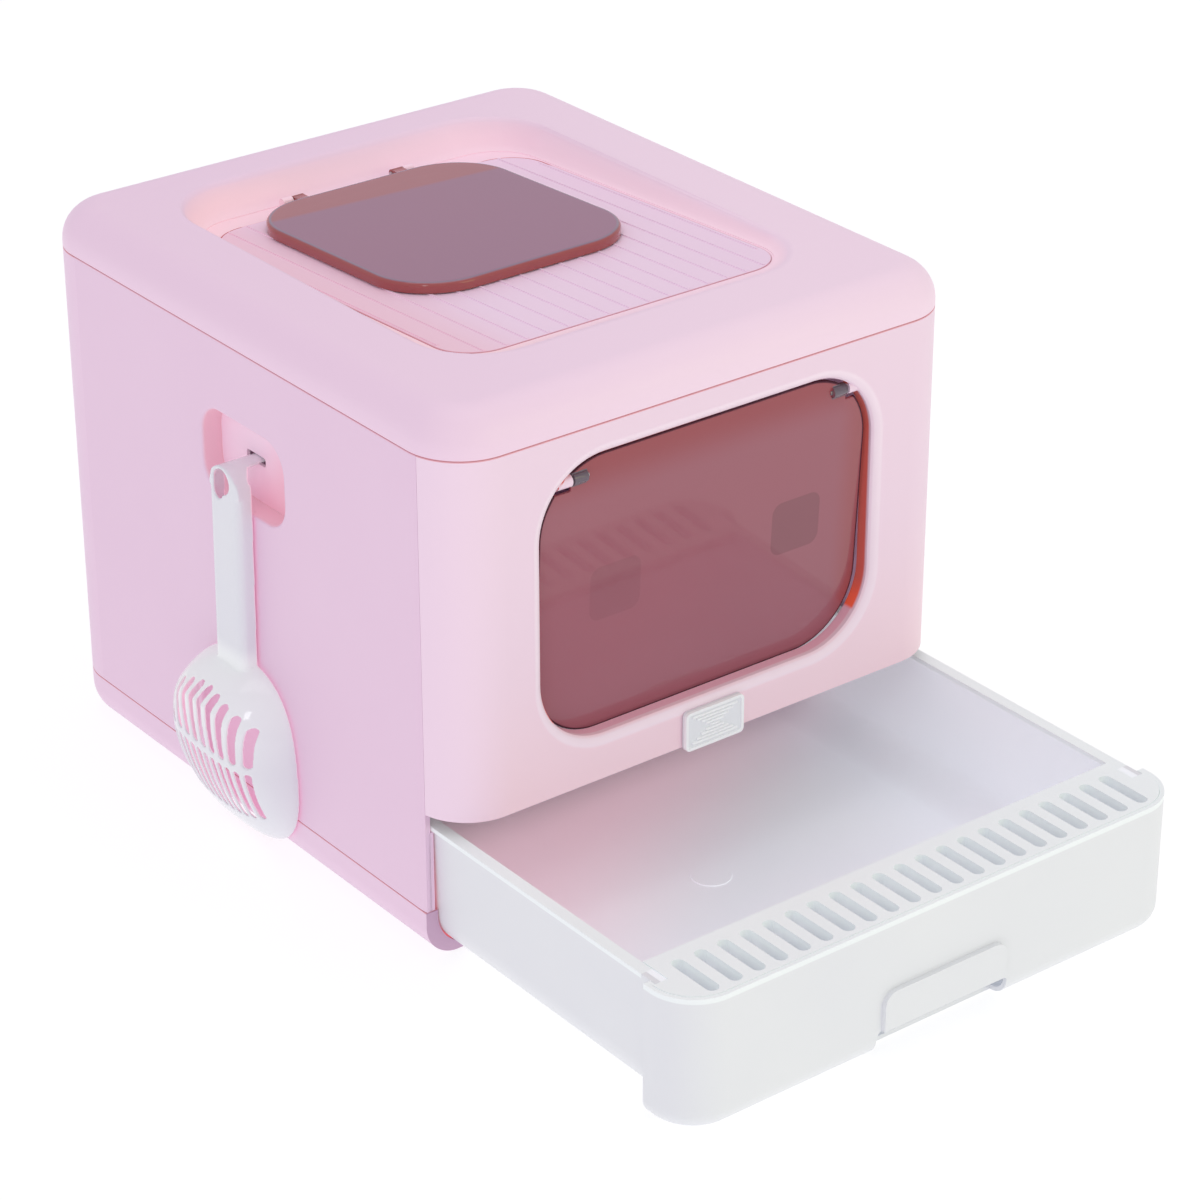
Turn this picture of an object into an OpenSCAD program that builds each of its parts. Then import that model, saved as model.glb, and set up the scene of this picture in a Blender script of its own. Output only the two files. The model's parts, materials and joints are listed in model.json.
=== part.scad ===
// Drawer litter box: a knock-down cabin of moulded panels on a base tray, with a
// swinging front door, a lift-up flap in a ribbed lid plate, a full-width litter
// drawer with a slotted sifting grate, a sliding latch and a scoop on the side wall.
// Frame: X across the width, the front faces -Y, Z up, origin under the base tray.
// The drawer is drawn pulled out by drawer_out.

/* [Body] */
// Width across the side panels
body_w = 409; // [408:1:417]
// Depth from the front panel to the rear panel
body_d = 468; // [464:1:480]
// Height to the top of the lid
body_h = 384; // [382:1:388]
// Radius of the four upright corners
corner_r = 40; // [38:1:42]
// Thickness of the moulded walls
wall = 2.6; // [2.4:0.1:2.8]
// Height of the base tray's side wall
base_h = 35; // [34:1:37]
// Radius of the base tray's lower edge
base_edge_r = 24; // [22:1:28]
// Height of the front panel's lower edge
front_bottom = 107; // [107:0.5:109]
// Height of the seam under the lid
lid_seam = 355; // [353:0.5:356]
// Radius of the lid's upper edge
lid_edge_r = 25; // [22:1:26]

/* [Front door] */
// Half of the doorway's width
doorway_half_w = 134; // [130:1:136]
// Height of the doorway's sill
doorway_bottom = 138; // [137:1:141]
// Height of the doorway's head
doorway_top = 334; // [330:1:335]
// Radius of the doorway's corners
doorway_r = 50; // [46:1:52]
// Radius of the soft edge that turns in round the doorway
doorway_lip = 8; // [6:0.5:8]
// Angle at which the door hangs inwards
door_tilt = 3; // [2.5:0.5:4]

/* [Lid] */
// Slope of the ribbed plate, lower at the rear
plate_tilt = 2.8; // [2:0.1:3]
// Number of ribs on the plate
rib_count = 15; // [9:2:17]
// Distance between ribs
rib_pitch = 16; // [14:0.5:16]
// Half of the flap's width
flap_half_w = 94.5; // [90:0.5:98]
// Length of the flap
flap_len = 206; // [200:1:208]

/* [Drawer] */
// How far the drawer is drawn out
drawer_out = 220; // [220:1:220]
// Half of the drawer tray's width
tray_half_w = 196.5; // [195:0.5:197]
// Height of the drawer's rim
rim_z = 97; // [95:0.5:97.5]
// Number of slots in the grate
slot_count = 21; // [11:2:21]
// Distance between slots
slot_pitch = 17.5; // [17.5:0.5:18]

/* [Scoop] */
// Half of the blade's width
blade_half_w = 60.5; // [57:0.5:62]
// Depth of the blade
blade_depth = 40; // [36:1:42]
// Number of slots in the blade's upper row
upper_slots = 10; // [6:2:10]
// Number of slots in the blade's lower row
lower_slots = 12; // [8:2:12]

/* [Hidden] */
$fn = 96;

eps = 0.01;
pink = [0.95, 0.78, 0.85];
smoke = [0.55, 0.32, 0.38];
white = [0.94, 0.94, 0.96];
steel = [0.7, 0.7, 0.74];

half_w = body_w / 2;
half_d = body_d / 2;
corner_x = half_w - corner_r;             // centres of the upright corners
corner_y = half_d - corner_r;
panel_front_y = -202;                     // side panels and base end here, behind the fascia
panel_rear_y = 190;                       // seam between side and rear panels
groove_w = 0.6;                           // shadow line cut along the seams
groove_h = 0.5;
lap = 0.2;                                // play between a locating lip and the wall it meets
lip_t = 2;                                // thickness of the locating lips
lip_h = 3.5;                              // height of the base tray's locating lip

// ---------- 2D helpers ----------

// Rectangle with round corners, centred, corners of radius r.
module round_rect(w, h, r) {
  union() {
    square([w - 2 * r, h], center = true);
    square([w, h - 2 * r], center = true);
    for (sx = [-1, 1], sy = [-1, 1])
      translate([sx * (w / 2 - r), sy * (h / 2 - r)]) circle(r);
  }
}

// Half section of a tub from its centre line out to `reach`, with a round lower edge.
module tub_half(reach, edge_r, h) {
  intersection() {
    square([reach, h]);
    union() {
      square([reach - edge_r, h]);
      translate([0, edge_r]) square([reach, h - edge_r]);
      translate([reach - edge_r, edge_r]) circle(edge_r);
    }
  }
}

// Wall and floor section of an open tub.
module tub_wall(reach, edge_r, h, t) {
  difference() {
    tub_half(reach, edge_r, h);
    translate([0, t]) tub_half(reach - t, edge_r - t, h);
  }
}

// Upright wall section whose outer face is `reach` from the corner centre.
module wall_section(reach, z0, z1) {
  difference() {
    translate([reach - wall, z0]) square([wall, z1 - z0]);
    translate([reach - groove_w, z0 - groove_h]) square([2 * groove_w, 2 * groove_h]);
  }
}

// ---------- sweeps of a section (x outwards, y up) ----------

// Straight run along Y, facing +X, centred on y = 0.
module run(length) {
  rotate([90, 0, 0]) linear_extrude(length, center = true) children();
}

module run_to(dir, offset_out, along, length) {
  rotate([0, 0, dir]) translate([offset_out, along, 0]) run(length) children();
}

// Turn about an upright axis, starting at angle a.
module turn(x, y, a, sweep) {
  translate([x, y, 0]) rotate([0, 0, a]) rotate_extrude(angle = sweep) children();
}

module quarter(x, y, a) {
  turn(x, y, a, 90) children();
}

// Section carried round a whole rounded rectangle whose corner centres are at (cx, cy).
module ring(cx, cy) {
  for (s = [0, 1]) {
    run_to(180 * s, cx, 0, 2 * cy) children();
    run_to(90 + 180 * s, cy, 0, 2 * cx) children();
    quarter(cx * (1 - 2 * s), cy * (1 - 2 * s), 180 * s) children();
    quarter(-cx * (1 - 2 * s), cy * (1 - 2 * s), 90 + 180 * s) children();
  }
}

// ---------- lofts ----------

// Closed skin over a list of rings with the same number of points, which run
// anticlockwise as seen from outside the first ring.
module skin(rings) {
  m = len(rings[0]);
  n = len(rings);
  polyhedron(
    points = [for (r = rings) each r],
    faces = concat(
      [[for (i = [m - 1 : -1 : 0]) i]],
      [for (k = [0 : n - 2]) for (i = [0 : m - 1]) each
        [[k * m + i, (k + 1) * m + (i + 1) % m, (k + 1) * m + i],
         [k * m + i, k * m + (i + 1) % m, (k + 1) * m + (i + 1) % m]]],
      [[for (i = [0 : m - 1]) (n - 1) * m + i]]));
}

// ---------- base tray ----------

module base_tray() {
  side_len = corner_y - panel_front_y;
  side_mid = (corner_y + panel_front_y) / 2;
  lip_reach = corner_r - wall - lap;
  color(pink) union() {
    // floor between the swept edges
    translate([-corner_x, panel_front_y, 0]) cube([2 * corner_x, side_len, wall]);
    base_sweep(side_len, side_mid) tub_wall(corner_r, base_edge_r, base_h, wall);
    // locating lip that stands up inside the panels
    base_sweep(side_len - 3, side_mid + 1.5)
      translate([lip_reach - lip_t, base_h - 8]) square([lip_t, lip_h + 8]);
    // web that joins the lip to the wall
    base_sweep(side_len - 3, side_mid + 1.5)
      translate([lip_reach - lip_t, base_h - 8]) square([lip_t + wall, 3]);
  }
}

// Both side runs, the two rear corners and the rear run.
module base_sweep(side_len, side_mid) {
  run_to(0, corner_x, side_mid, side_len) children();
  run_to(180, corner_x, -side_mid, side_len) children();
  run_to(90, corner_y, 0, 2 * corner_x) children();
  quarter(corner_x, corner_y, 0) children();
  quarter(-corner_x, corner_y, 90) children();
}

// ---------- wall panels ----------

end_strip_in = half_w - 4.8;              // inner edge of the end strip beside the drawer
pocket_y = -8.5;                          // centre of the scoop pocket
pocket_z = 274.5;
pocket_w = 94;
pocket_h = 59;
pocket_r = 20;
pocket_depth = 14.5;
hook_slot_y = -2.5;                       // slot in the pocket that takes the scoop's hook
hook_slot_z = 274.8;
hook_slot_w = 22;
hook_slot_h = 6.4;

// Angle of the front corner that belongs to the side panel.
side_turn = asin((-corner_y - panel_front_y) / corner_r);
seam_turn = 0.3;                          // hairline between side and front panels

// Side panel on the -X side, with a return flange at its front end.
module side_panel_plain() {
  panel_len = panel_rear_y + corner_y;
  flange_t = 2.4;
  union() {
    run_to(180, corner_x, corner_y - panel_len / 2, panel_len)
      wall_section(corner_r, base_h, lid_seam);
    turn(-corner_x, -corner_y, 180, side_turn) wall_section(corner_r, base_h, lid_seam);
    translate([-half_w + 1.6, panel_front_y + 0.4, base_h])
      cube([half_w - end_strip_in - 1.6, flange_t, front_bottom + 6 - base_h]);
  }
}

module left_panel() {
  color(pink) difference() {
    union() {
      side_panel_plain();
      // pocket tub for the scoop
      translate([-half_w, pocket_y, pocket_z]) rotate([90, 0, 90])
        linear_extrude(pocket_depth + wall)
          round_rect(pocket_w + 2 * wall, pocket_h + 2 * wall, pocket_r + wall);
    }
    translate([-half_w - 1, pocket_y, pocket_z]) rotate([90, 0, 90])
      linear_extrude(pocket_depth + 1) round_rect(pocket_w, pocket_h, pocket_r);
    translate([-half_w, hook_slot_y, hook_slot_z]) rotate([90, 0, 90])
      linear_extrude(40) round_rect(hook_slot_w, hook_slot_h, 2);
  }
}

module right_panel() {
  color(pink) mirror([1, 0, 0]) side_panel_plain();
}

// Upright wall round two corners, open towards +Y. The corners stop `trim` degrees short
// of the sides, or run on straight for `straight`.
module wrap_panel(z0, z1, straight, trim) {
  for (s = [0, 1]) mirror([s, 0, 0]) {
    if (straight > 0)
      run_to(0, corner_x, straight / 2 - corner_y, straight) wall_section(corner_r, z0, z1);
    turn(corner_x, -corner_y, -90, 90 - trim) wall_section(corner_r, z0, z1);
  }
  run_to(-90, corner_y, 0, 2 * corner_x) wall_section(corner_r, z0, z1);
}

doorway_w = 2 * doorway_half_w;
doorway_h = doorway_top - doorway_bottom;
doorway_z = (doorway_top + doorway_bottom) / 2;
frame_depth = 14;                         // how far the doorway's edge turns in
ear_x0 = 111;                             // ears that carry the door's pins
ear_x1 = 122;
hinge_x = 3;                              // middle of the hinge set
hinge_y = -half_d + 7.5;
hinge_z = 320;
pin_r = 2;
latch_w = 48;
latch_h = 28;
latch_bottom = 105;
latch_slot_w = 40;
latch_slot_top = 127.6;

// Section of the doorway's turned-in edge: x out from the corner centre, y inwards.
// A round of radius lip_r meets a flat flange in a crease.
module doorway_lip_section() {
  lip_out = doorway_r + doorway_lip;
  lip_r = doorway_lip + 2;
  crease = lip_r - sqrt(lip_r * lip_r - doorway_lip * doorway_lip);
  union() {
    intersection() {
      translate([doorway_r, 0]) square([doorway_lip + eps, lip_r]);
      difference() {
        translate([lip_out, lip_r]) circle(lip_r);
        translate([lip_out, lip_r]) circle(lip_r - wall);
      }
    }
    translate([doorway_r, crease]) square([wall, frame_depth - crease]);
  }
}

lap_x = half_w - wall - lap - lip_t - 1;
lap_z0 = front_bottom + 8;

// Lays a plan ring so that it stands round the doorway in the front face.
module at_doorway() {
  translate([0, -half_d, doorway_z]) rotate([-90, 0, 0]) children();
}

module front_panel() {
  lip_out = doorway_r + doorway_lip;
  color(pink) union() {
    difference() {
      wrap_panel(front_bottom, lid_seam, 0, side_turn + seam_turn);
      at_doorway() translate([0, 0, -5])
        linear_extrude(20) round_rect(doorway_w + 2 * doorway_lip, doorway_h + 2 * doorway_lip, lip_out);
      // channel for the latch
      translate([-latch_slot_w / 2, -half_d - 5, front_bottom - 5])
        cube([latch_slot_w, 10, latch_slot_top - front_bottom + 5]);
    }
    at_doorway() ring(doorway_half_w - doorway_r, doorway_h / 2 - doorway_r) doorway_lip_section();
    // ears at the upper corners
    for (s = [-1, 1])
      translate([hinge_x + s * (ear_x0 + ear_x1) / 2, hinge_y, hinge_z]) rotate([0, 90, 0])
        cylinder(h = ear_x1 - ear_x0, r = 4.2, center = true);
    // laps inside the side panels
    for (s = [0, 1]) mirror([s, 0, 0]) {
      translate([lap_x, panel_front_y - 3, lap_z0]) cube([lip_t, 12, lid_seam - 12 - lap_z0]);
      translate([lap_x, panel_front_y - 5, lap_z0]) cube([lip_t + 1, 4.6, lid_seam - 12 - lap_z0]);
    }
  }
}

module rear_panel() {
  color(pink) rotate([0, 0, 180]) union() {
    wrap_panel(base_h, lid_seam, corner_y - panel_rear_y, 0);
    for (s = [0, 1]) mirror([s, 0, 0]) {
      translate([half_w - wall - lap - lip_t, -corner_y + 4, base_h + 8])
        cube([lip_t, 14, lid_seam - base_h - 18]);
      translate([half_w - wall - lap - lip_t, -corner_y - 4, base_h + 8])
        cube([lip_t + lap + wall / 2, 8, lid_seam - base_h - 18]);
    }
  }
}

// ---------- drawer latch ----------

latch_front_y = -half_d - 4.6;
latch_back_y = -half_d - 0.4;
stem_w = 36;
stem_top = 127;
stem_back_y = -half_d + wall + 6;
tongue_z = rim_z + 1.7;                   // just above the grate

module latch_slider() {
  plate_z = latch_bottom + latch_h / 2;
  rib_n = 9;
  color(white) union() {
    // finger plate with a raised border
    difference() {
      translate([0, latch_back_y, plate_z]) rotate([90, 0, 0])
        linear_extrude(latch_back_y - latch_front_y) round_rect(latch_w, latch_h, 3.5);
      translate([0, latch_front_y + 1.2, plate_z]) rotate([90, 0, 0])
        linear_extrude(4) round_rect(latch_w - 4, latch_h - 4, 2);
    }
    // grip ribs, short in the middle and long above and below
    for (i = [0 : rib_n - 1]) {
      t = abs(i - (rib_n - 1) / 2) / ((rib_n - 1) / 2);
      rib_w = 8 + 28 * t;
      translate([-rib_w / 2, latch_front_y + 0.3, latch_bottom + 4 + i * (latch_h - 9) / (rib_n - 1)])
        cube([rib_w, 1.2, 1]);
    }
    // stem through the channel and the wings behind it
    translate([-stem_w / 2, latch_back_y - eps, latch_bottom + 4])
      cube([stem_w, stem_back_y - latch_back_y, stem_top - latch_bottom - 4]);
    translate([-latch_w / 2, -half_d + wall + 0.5, latch_bottom + 6])
      cube([latch_w, 2.5, stem_top - latch_bottom - 6]);
    // tongue that drops into the middle slot of the grate
    translate([-3.2, stem_back_y - 2 * eps, latch_bottom + 6]) cube([6.4, 3, 10]);
    translate([-3.2, stem_back_y + 1, tongue_z]) cube([6.4, 2.4, latch_bottom + 10 - tongue_z]);
  }
}

guide_x = latch_w / 2 + 0.5;
guide_top = doorway_bottom - doorway_lip - 0.1;

// Bracket behind the panel in which the slider's wings run.
module latch_guide() {
  cheek_h = guide_top - front_bottom - 1;
  color(pink) union() {
    for (s = [-1, 1]) {
      translate([s * (guide_x + 1.2) - 1.2, -half_d + wall, front_bottom + 1]) cube([2.4, 6, cheek_h]);
      translate([s * (guide_x - 1) - 3.4, -half_d + wall + 3.6, front_bottom + 1]) cube([6.8, 2.4, cheek_h]);
    }
    translate([-guide_x - 2.4, -half_d + wall, guide_top - 2]) cube([2 * guide_x + 4.8, 6, 2]);
  }
}

// ---------- front door ----------

door_t = 2.6;
door_half_w = doorway_half_w - 2.8;
door_top = doorway_top - 1.5;
door_bottom = doorway_bottom - 2;         // hangs behind the sill, so it opens inwards only
pad_x = [-65, 82];                        // rounded pads on the door's inner face
pad_z = 233;
pad_w = 40;
pad_h = 38;
pad_rise = 0.6;
barrel_x0 = 98.5;
barrel_x1 = 109.5;
barrel_r = 4.2;
door_fit = 0.06;                          // radial play of the hinges

// Middle of the door's barrel on side s.
function barrel_x(s) = hinge_x + s * (barrel_x0 + barrel_x1) / 2;

// Door drawn hanging straight down from the hinge axis.
module door_plain() {
  h = door_top - door_bottom;
  rise = door_top - hinge_z;
  difference() {
    union() {
      difference() {
        translate([0, door_t / 2, rise - h / 2]) rotate([90, 0, 0])
          linear_extrude(door_t) round_rect(2 * door_half_w, h, doorway_r);
        // notches round the barrels and ears
        for (s = [-1, 1])
          translate([hinge_x + s * (barrel_x0 - 1.5 + 15), 0, 0]) cube([30, 4 * door_t, 15], center = true);
        for (s = [-1, 1])
          translate([hinge_x + s * (barrel_x1 + 10), 0, 10]) cube([21.6, 4 * door_t, 35], center = true);
      }
      for (x = pad_x)
        translate([x, door_t / 2 + pad_rise, pad_z - hinge_z]) rotate([90, 0, 0])
          linear_extrude(pad_rise + eps) round_rect(pad_w, pad_h, 8);
      for (s = [-1, 1]) {
        translate([barrel_x(s), 0, 0]) rotate([0, 90, 0])
          cylinder(h = barrel_x1 - barrel_x0, r = barrel_r, center = true);
        // webs that carry the barrels
        translate([barrel_x(s), 0, -5.5]) cube([barrel_x1 - barrel_x0, door_t, 7], center = true);
      }
    }
    for (s = [-1, 1])
      translate([barrel_x(s), 0, 0]) rotate([0, 90, 0]) cylinder(h = 20, r = pin_r + door_fit, center = true);
  }
}

module front_door() {
  color(smoke) translate([0, hinge_y, hinge_z]) rotate([door_tilt, 0, 0]) door_plain();
}

module door_pin(side) {
  color(steel) translate([hinge_x + side * (barrel_x0 - 1.5), hinge_y, hinge_z]) rotate([0, side * 90, 0])
    cylinder(h = ear_x0 - barrel_x0 + 1.5, r = pin_r);
}

// ---------- lid ----------

recess_half_w = 148;                      // rim of the recess at the top face
recess_y0 = -170;
recess_y1 = 187;
recess_r = 56;
foot_half_w = 133;                        // foot of the recess wall, on the tilted plate
foot_y0 = -153;
foot_y1 = 166;
foot_r = 34;
plate_z = 371.5;                          // height of the plate's top at y = 0
plate_half_w = 131;
plate_y0 = -150;
plate_y1 = 147;
plate_r = 30;
plate_t = 2.4;
lid_lip = 6;                              // depth of the lip inside the panels
wall_steps = 8;
corner_steps = 9;                         // points on each corner of the recess loft

// One ring of the recess: t = 0 at the rim, 1 at the foot; grow widens it.
function mix(a, b, t) = a + (b - a) * t;
function ease(t) = (1 - cos(180 * t)) / 2;
function recess_ring(t, grow, drop) =
  let (hw = mix(recess_half_w, foot_half_w, t) + grow,
       y0 = mix(recess_y0, foot_y0, t) - grow,
       y1 = mix(recess_y1, foot_y1, t) + grow,
       r = mix(recess_r, foot_r, t) + grow,
       e = ease(t))
  [for (q = [0 : 3]) for (i = [0 : corner_steps])
    let (a = 90 * q + 90 * i / corner_steps,
         cx = (q == 0 || q == 3) ? hw - r : r - hw,
         cy = (q < 2) ? y1 - r : y0 + r,
         x = cx + r * cos(a),
         y = cy + r * sin(a))
    [x, y, mix(body_h, plate_z - y * tan(plate_tilt), e) - drop]];

module recess_skin(grow, drop, lift) {
  skin(concat(
    lift > 0 ? [[for (p = recess_ring(0, grow, drop)) [p[0], p[1], p[2] + lift]]] : [],
    [for (k = [0 : wall_steps]) recess_ring(k / wall_steps, grow, drop)],
    [[for (p = recess_ring(1, grow, drop)) [p[0], p[1], p[2] - 0.5]]]));
}

// Plate-shaped slab on the tilted plane, its top `down` below the plate's top.
module tilted_slab(half, y0, y1, r, t, down) {
  translate([0, 0, plate_z]) rotate([-plate_tilt, 0, 0]) translate([0, (y0 + y1) / 2, -down - t])
    linear_extrude(t) round_rect(2 * half, y1 - y0, r);
}

flap_t = 2.6;
flap_skirt = 7;
flap_y1 = 151;
flap_x = -4;
flap_lift = 1;                            // flap's skirt stands this far above the plate
flap_r = 47;
flap_hinge_y = 156;
flap_hinge_up = 5.2;                      // hinge axis above the plate
flap_pin_x = [-57, 43];                   // middles of the two hinge ears
flap_ear_w = 8;
flap_barrel_w = 9;

module lid() {
  $fn = 52;
  top_ring_w = 2 * corner_x;
  top_ring_d = 2 * corner_y;
  color(pink) union() {
    difference() {
      union() {
        ring(corner_x, corner_y) lid_section();
        translate([-top_ring_w / 2, -top_ring_d / 2, body_h - wall]) cube([top_ring_w, top_ring_d, wall]);
        // locating lip inside the panels, and the web that carries it
        ring(corner_x, corner_y) translate([corner_r - wall - lap - lip_t, lid_seam - lid_lip])
          square([lip_t, lid_lip + 6]);
        ring(corner_x, corner_y) translate([corner_r - wall - lap - lip_t, lid_seam + 1])
          square([lip_t + lap + wall / 2, 4]);
        recess_skin(wall, wall, 1);
      }
      recess_skin(0, 0, 5);
      tilted_slab(plate_half_w + 0.4, plate_y0 - 0.4, plate_y1 + 0.4, plate_r + 0.4, 30, -1);
    }
    // ledge under the plate's edge
    difference() {
      tilted_slab(foot_half_w + 1, foot_y0 - 1, plate_y1 + 3, foot_r + 1, 2.2, plate_t);
      tilted_slab(plate_half_w - 7, plate_y0 + 7, plate_y1 - 7, plate_r - 7, 30, -1);
    }
    // ears that carry the flap's pins
    translate([0, 0, plate_z]) rotate([-plate_tilt, 0, 0])
      for (x = flap_pin_x) {
        translate([x, flap_hinge_y, flap_hinge_up]) rotate([0, 90, 0])
          cylinder(h = flap_ear_w, r = 3.2, center = true);
        translate([x - flap_ear_w / 2, flap_hinge_y - 3.2, -1]) cube([flap_ear_w, 6.4, flap_hinge_up + 1]);
      }
  }
}

// Skirt and rounded upper edge of the lid: x out from the corner centre, y up.
module lid_section() {
  edge_c = corner_r - lid_edge_r;
  difference() {
    union() {
      intersection() {
        translate([edge_c, body_h - lid_edge_r]) circle(lid_edge_r);
        translate([edge_c, body_h - lid_edge_r]) square(lid_edge_r + 1);
      }
      translate([0, body_h - lid_edge_r]) square([edge_c, lid_edge_r]);
      translate([0, lid_seam]) square([corner_r, body_h - lid_edge_r - lid_seam]);
    }
    intersection() {
      translate([edge_c, body_h - lid_edge_r]) circle(lid_edge_r - wall);
      translate([edge_c, body_h - lid_edge_r]) square(lid_edge_r + 1);
    }
    translate([-1, body_h - lid_edge_r - 1]) square([edge_c + 1 + eps, lid_edge_r - wall + 1]);
    translate([-1, lid_seam - 1]) square([corner_r - wall + 1, body_h - lid_edge_r - lid_seam + 1 + eps]);
    translate([corner_r - groove_w, lid_seam - groove_h]) square([2 * groove_w, 2 * groove_h]);
  }
}

entry_half_w = 84;                        // hole in the plate under the flap
entry_y0 = -38;
entry_y1 = 127;
entry_r = 38;
rib_rise = 0.6;                           // ribs stand this far above the plate

module lid_plate() {
  color(pink) difference() {
    union() {
      tilted_slab(plate_half_w, plate_y0, plate_y1, plate_r, plate_t, 0);
      // ribs, cut to the plate's outline
      intersection() {
        tilted_slab(plate_half_w - 1.5, plate_y0 + 1.5, plate_y1 - 1.5, plate_r - 1.5, 4, -1.1);
        translate([0, 0, plate_z]) rotate([-plate_tilt, 0, 0])
          for (i = [0 : rib_count - 1])
            translate([(i - (rib_count - 1) / 2) * rib_pitch - 0.9, plate_y0, -1])
              cube([1.8, plate_y1 - plate_y0, 1 + rib_rise]);
      }
      // border lines along the sides, one rib's distance further out
      translate([0, 0, plate_z]) rotate([-plate_tilt, 0, 0])
        for (s = [-1, 1])
          translate([s * (plate_half_w - 3) - 0.9, plate_y0 + plate_r, -1])
            cube([1.8, plate_y1 - plate_y0 - 2 * plate_r, 1 + rib_rise]);
    }
    tilted_slab(entry_half_w, entry_y0, entry_y1, entry_r, 30, -10);
  }
}

// Section of the flap's edge: x out from the corner centre, y up from the skirt's lower edge.
module flap_section() {
  edge = 3;
  intersection() {
    translate([flap_r - 16, 0]) square([16, flap_skirt]);
    difference() {
      union() {
        translate([0, 0]) square([flap_r - edge, flap_skirt]);
        square([flap_r, flap_skirt - edge]);
        translate([flap_r - edge, flap_skirt - edge]) circle(edge);
      }
      translate([-1, -1]) square([flap_r - flap_t + 1, flap_skirt - flap_t + 1]);
    }
  }
}

module top_flap() {
  cx = flap_half_w - flap_r;
  cy = flap_len / 2 - flap_r;
  color(smoke) translate([0, 0, plate_z]) rotate([-plate_tilt, 0, 0]) difference() {
    union() {
      translate([flap_x, flap_y1 - flap_len / 2, flap_lift]) {
        ring(cx, cy) flap_section();
        translate([0, 0, flap_skirt - flap_t]) linear_extrude(flap_t)
          round_rect(2 * flap_half_w - 30, flap_len - 30, flap_r - 15);
      }
      // barrels beside the ears
      for (x = flap_pin_x)
        translate([x + barrel_side(x), flap_hinge_y, flap_hinge_up]) {
          rotate([0, 90, 0]) cylinder(h = flap_barrel_w, r = 3, center = true);
          translate([-flap_barrel_w / 2, -8, 0]) cube([flap_barrel_w, 8, 2.7]);
        }
    }
    for (x = flap_pin_x) {
      translate([x + barrel_side(x), flap_hinge_y, flap_hinge_up]) rotate([0, 90, 0])
        cylinder(h = 2 * flap_barrel_w, r = pin_small_r + door_fit, center = true);
      // room for the lid's ears
      translate([x, flap_hinge_y, flap_hinge_up]) cube([flap_ear_w + 0.8, 8, 10], center = true);
    }
  }
}

pin_small_r = 1.5;
function barrel_side(x) = x < 0 ? 9 : -9;

module flap_pin(x) {
  dir = barrel_side(x) > 0 ? 1 : -1;
  color(steel) translate([0, 0, plate_z]) rotate([-plate_tilt, 0, 0])
    translate([x + dir * flap_ear_w / 2, flap_hinge_y, flap_hinge_up]) rotate([0, dir * 90, 0])
      cylinder(h = flap_barrel_w + 1.2, r = pin_small_r);
}

// ---------- drawer ----------

drawer_z = 3;                             // underside of the drawer above the floor
tray_t = 3;
tray_edge_r = 28;
tray_rear_r = 38;
tray_front_y = -207 - drawer_out;         // outer face of the tray's front wall
tray_rear_y = tray_front_y + 428;
rim_out = 2.5;
rim_in = 6;
rim_t = 3.2;
grate_z = rim_z + 0.3;
grate_t = 3;
fascia_front_y = -half_d - 7 - drawer_out;
fascia_rear_y = tray_front_y - 0.5;
fascia_r = 33;
fascia_edge_r = 13.5;
fascia_t = 3;
fascia_z = 2;                             // underside of the fascia above the floor
fascia_end_y = tray_front_y + 4.6;        // rear end of the fascia's sides

// Full X-Z outline of a tub.
module tub_full(half, edge_r, h) {
  union() {
    tub_half(half, edge_r, h);
    mirror([1, 0, 0]) tub_half(half, edge_r, h);
  }
}

module drawer_tray() {
  h = rim_z - drawer_z;
  cx = tray_half_w - tray_rear_r;
  rear_cy = tray_rear_y - tray_rear_r;
  side_len = rear_cy - tray_front_y;
  rim_w = rim_in + rim_out;
  wall_top = grate_z - grate_t - drawer_z;
  color(white) difference() {
    union() {
      translate([0, 0, drawer_z]) {
        // straight part of the tub
        translate([0, rear_cy, 0]) rotate([90, 0, 0]) linear_extrude(side_len) difference() {
          tub_full(tray_half_w, tray_edge_r, h);
          translate([0, tray_t]) tub_full(tray_half_w - tray_t, tray_edge_r - tray_t, h);
        }
        // front wall, lower than the rim, under the grate
        translate([0, tray_front_y + tray_t, 0]) rotate([90, 0, 0]) linear_extrude(tray_t)
          tub_full(tray_half_w, tray_edge_r, wall_top);
        // rear corners and rear wall
        for (s = [0, 1]) mirror([s, 0, 0])
          quarter(cx, rear_cy, 0) tub_wall(tray_rear_r, tray_edge_r, h, tray_t);
        run_to(90, rear_cy, 0, 2 * cx) tub_wall(tray_rear_r, tray_edge_r, h, tray_t);
      }
      // rim along the sides and round the rear
      for (s = [0, 1]) mirror([s, 0, 0]) {
        run_to(0, cx, rear_cy - side_len / 2, side_len) rim_section(rim_w);
        quarter(cx, rear_cy, 0) rim_section(rim_w);
      }
      run_to(90, rear_cy, 0, 2 * cx) rim_section(rim_w);
      // round boss left on the floor by the mould
      translate([-3, -240, drawer_z + tray_t - eps]) cylinder(h = 0.7, r = 14);
    }
    // room for the grate between the rims
    translate([-tray_half_w + rim_in, tray_front_y - 1, grate_z - grate_t])
      cube([2 * (tray_half_w - rim_in), 24, 10]);
  }
}

module rim_section(w) {
  translate([tray_rear_r - rim_in, rim_z - rim_t]) square([w, rim_t]);
}

// Front part of the fascia, from its rear edge round both corners.
module fascia_wrap() {
  cx = half_w - fascia_r;
  cy = -fascia_front_y - fascia_r;
  side_len = fascia_rear_y + cy;
  for (s = [0, 1]) mirror([s, 0, 0]) {
    if (side_len > eps) run_to(0, cx, fascia_rear_y - side_len / 2, side_len) children();
    quarter(cx, -cy, -90) children();
  }
  run_to(-90, cy, 0, 2 * cx) children();
}

handle_w = 100;
handle_z0 = 12.5;
handle_z1 = 48;
handle_rise = 3.4;

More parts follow.
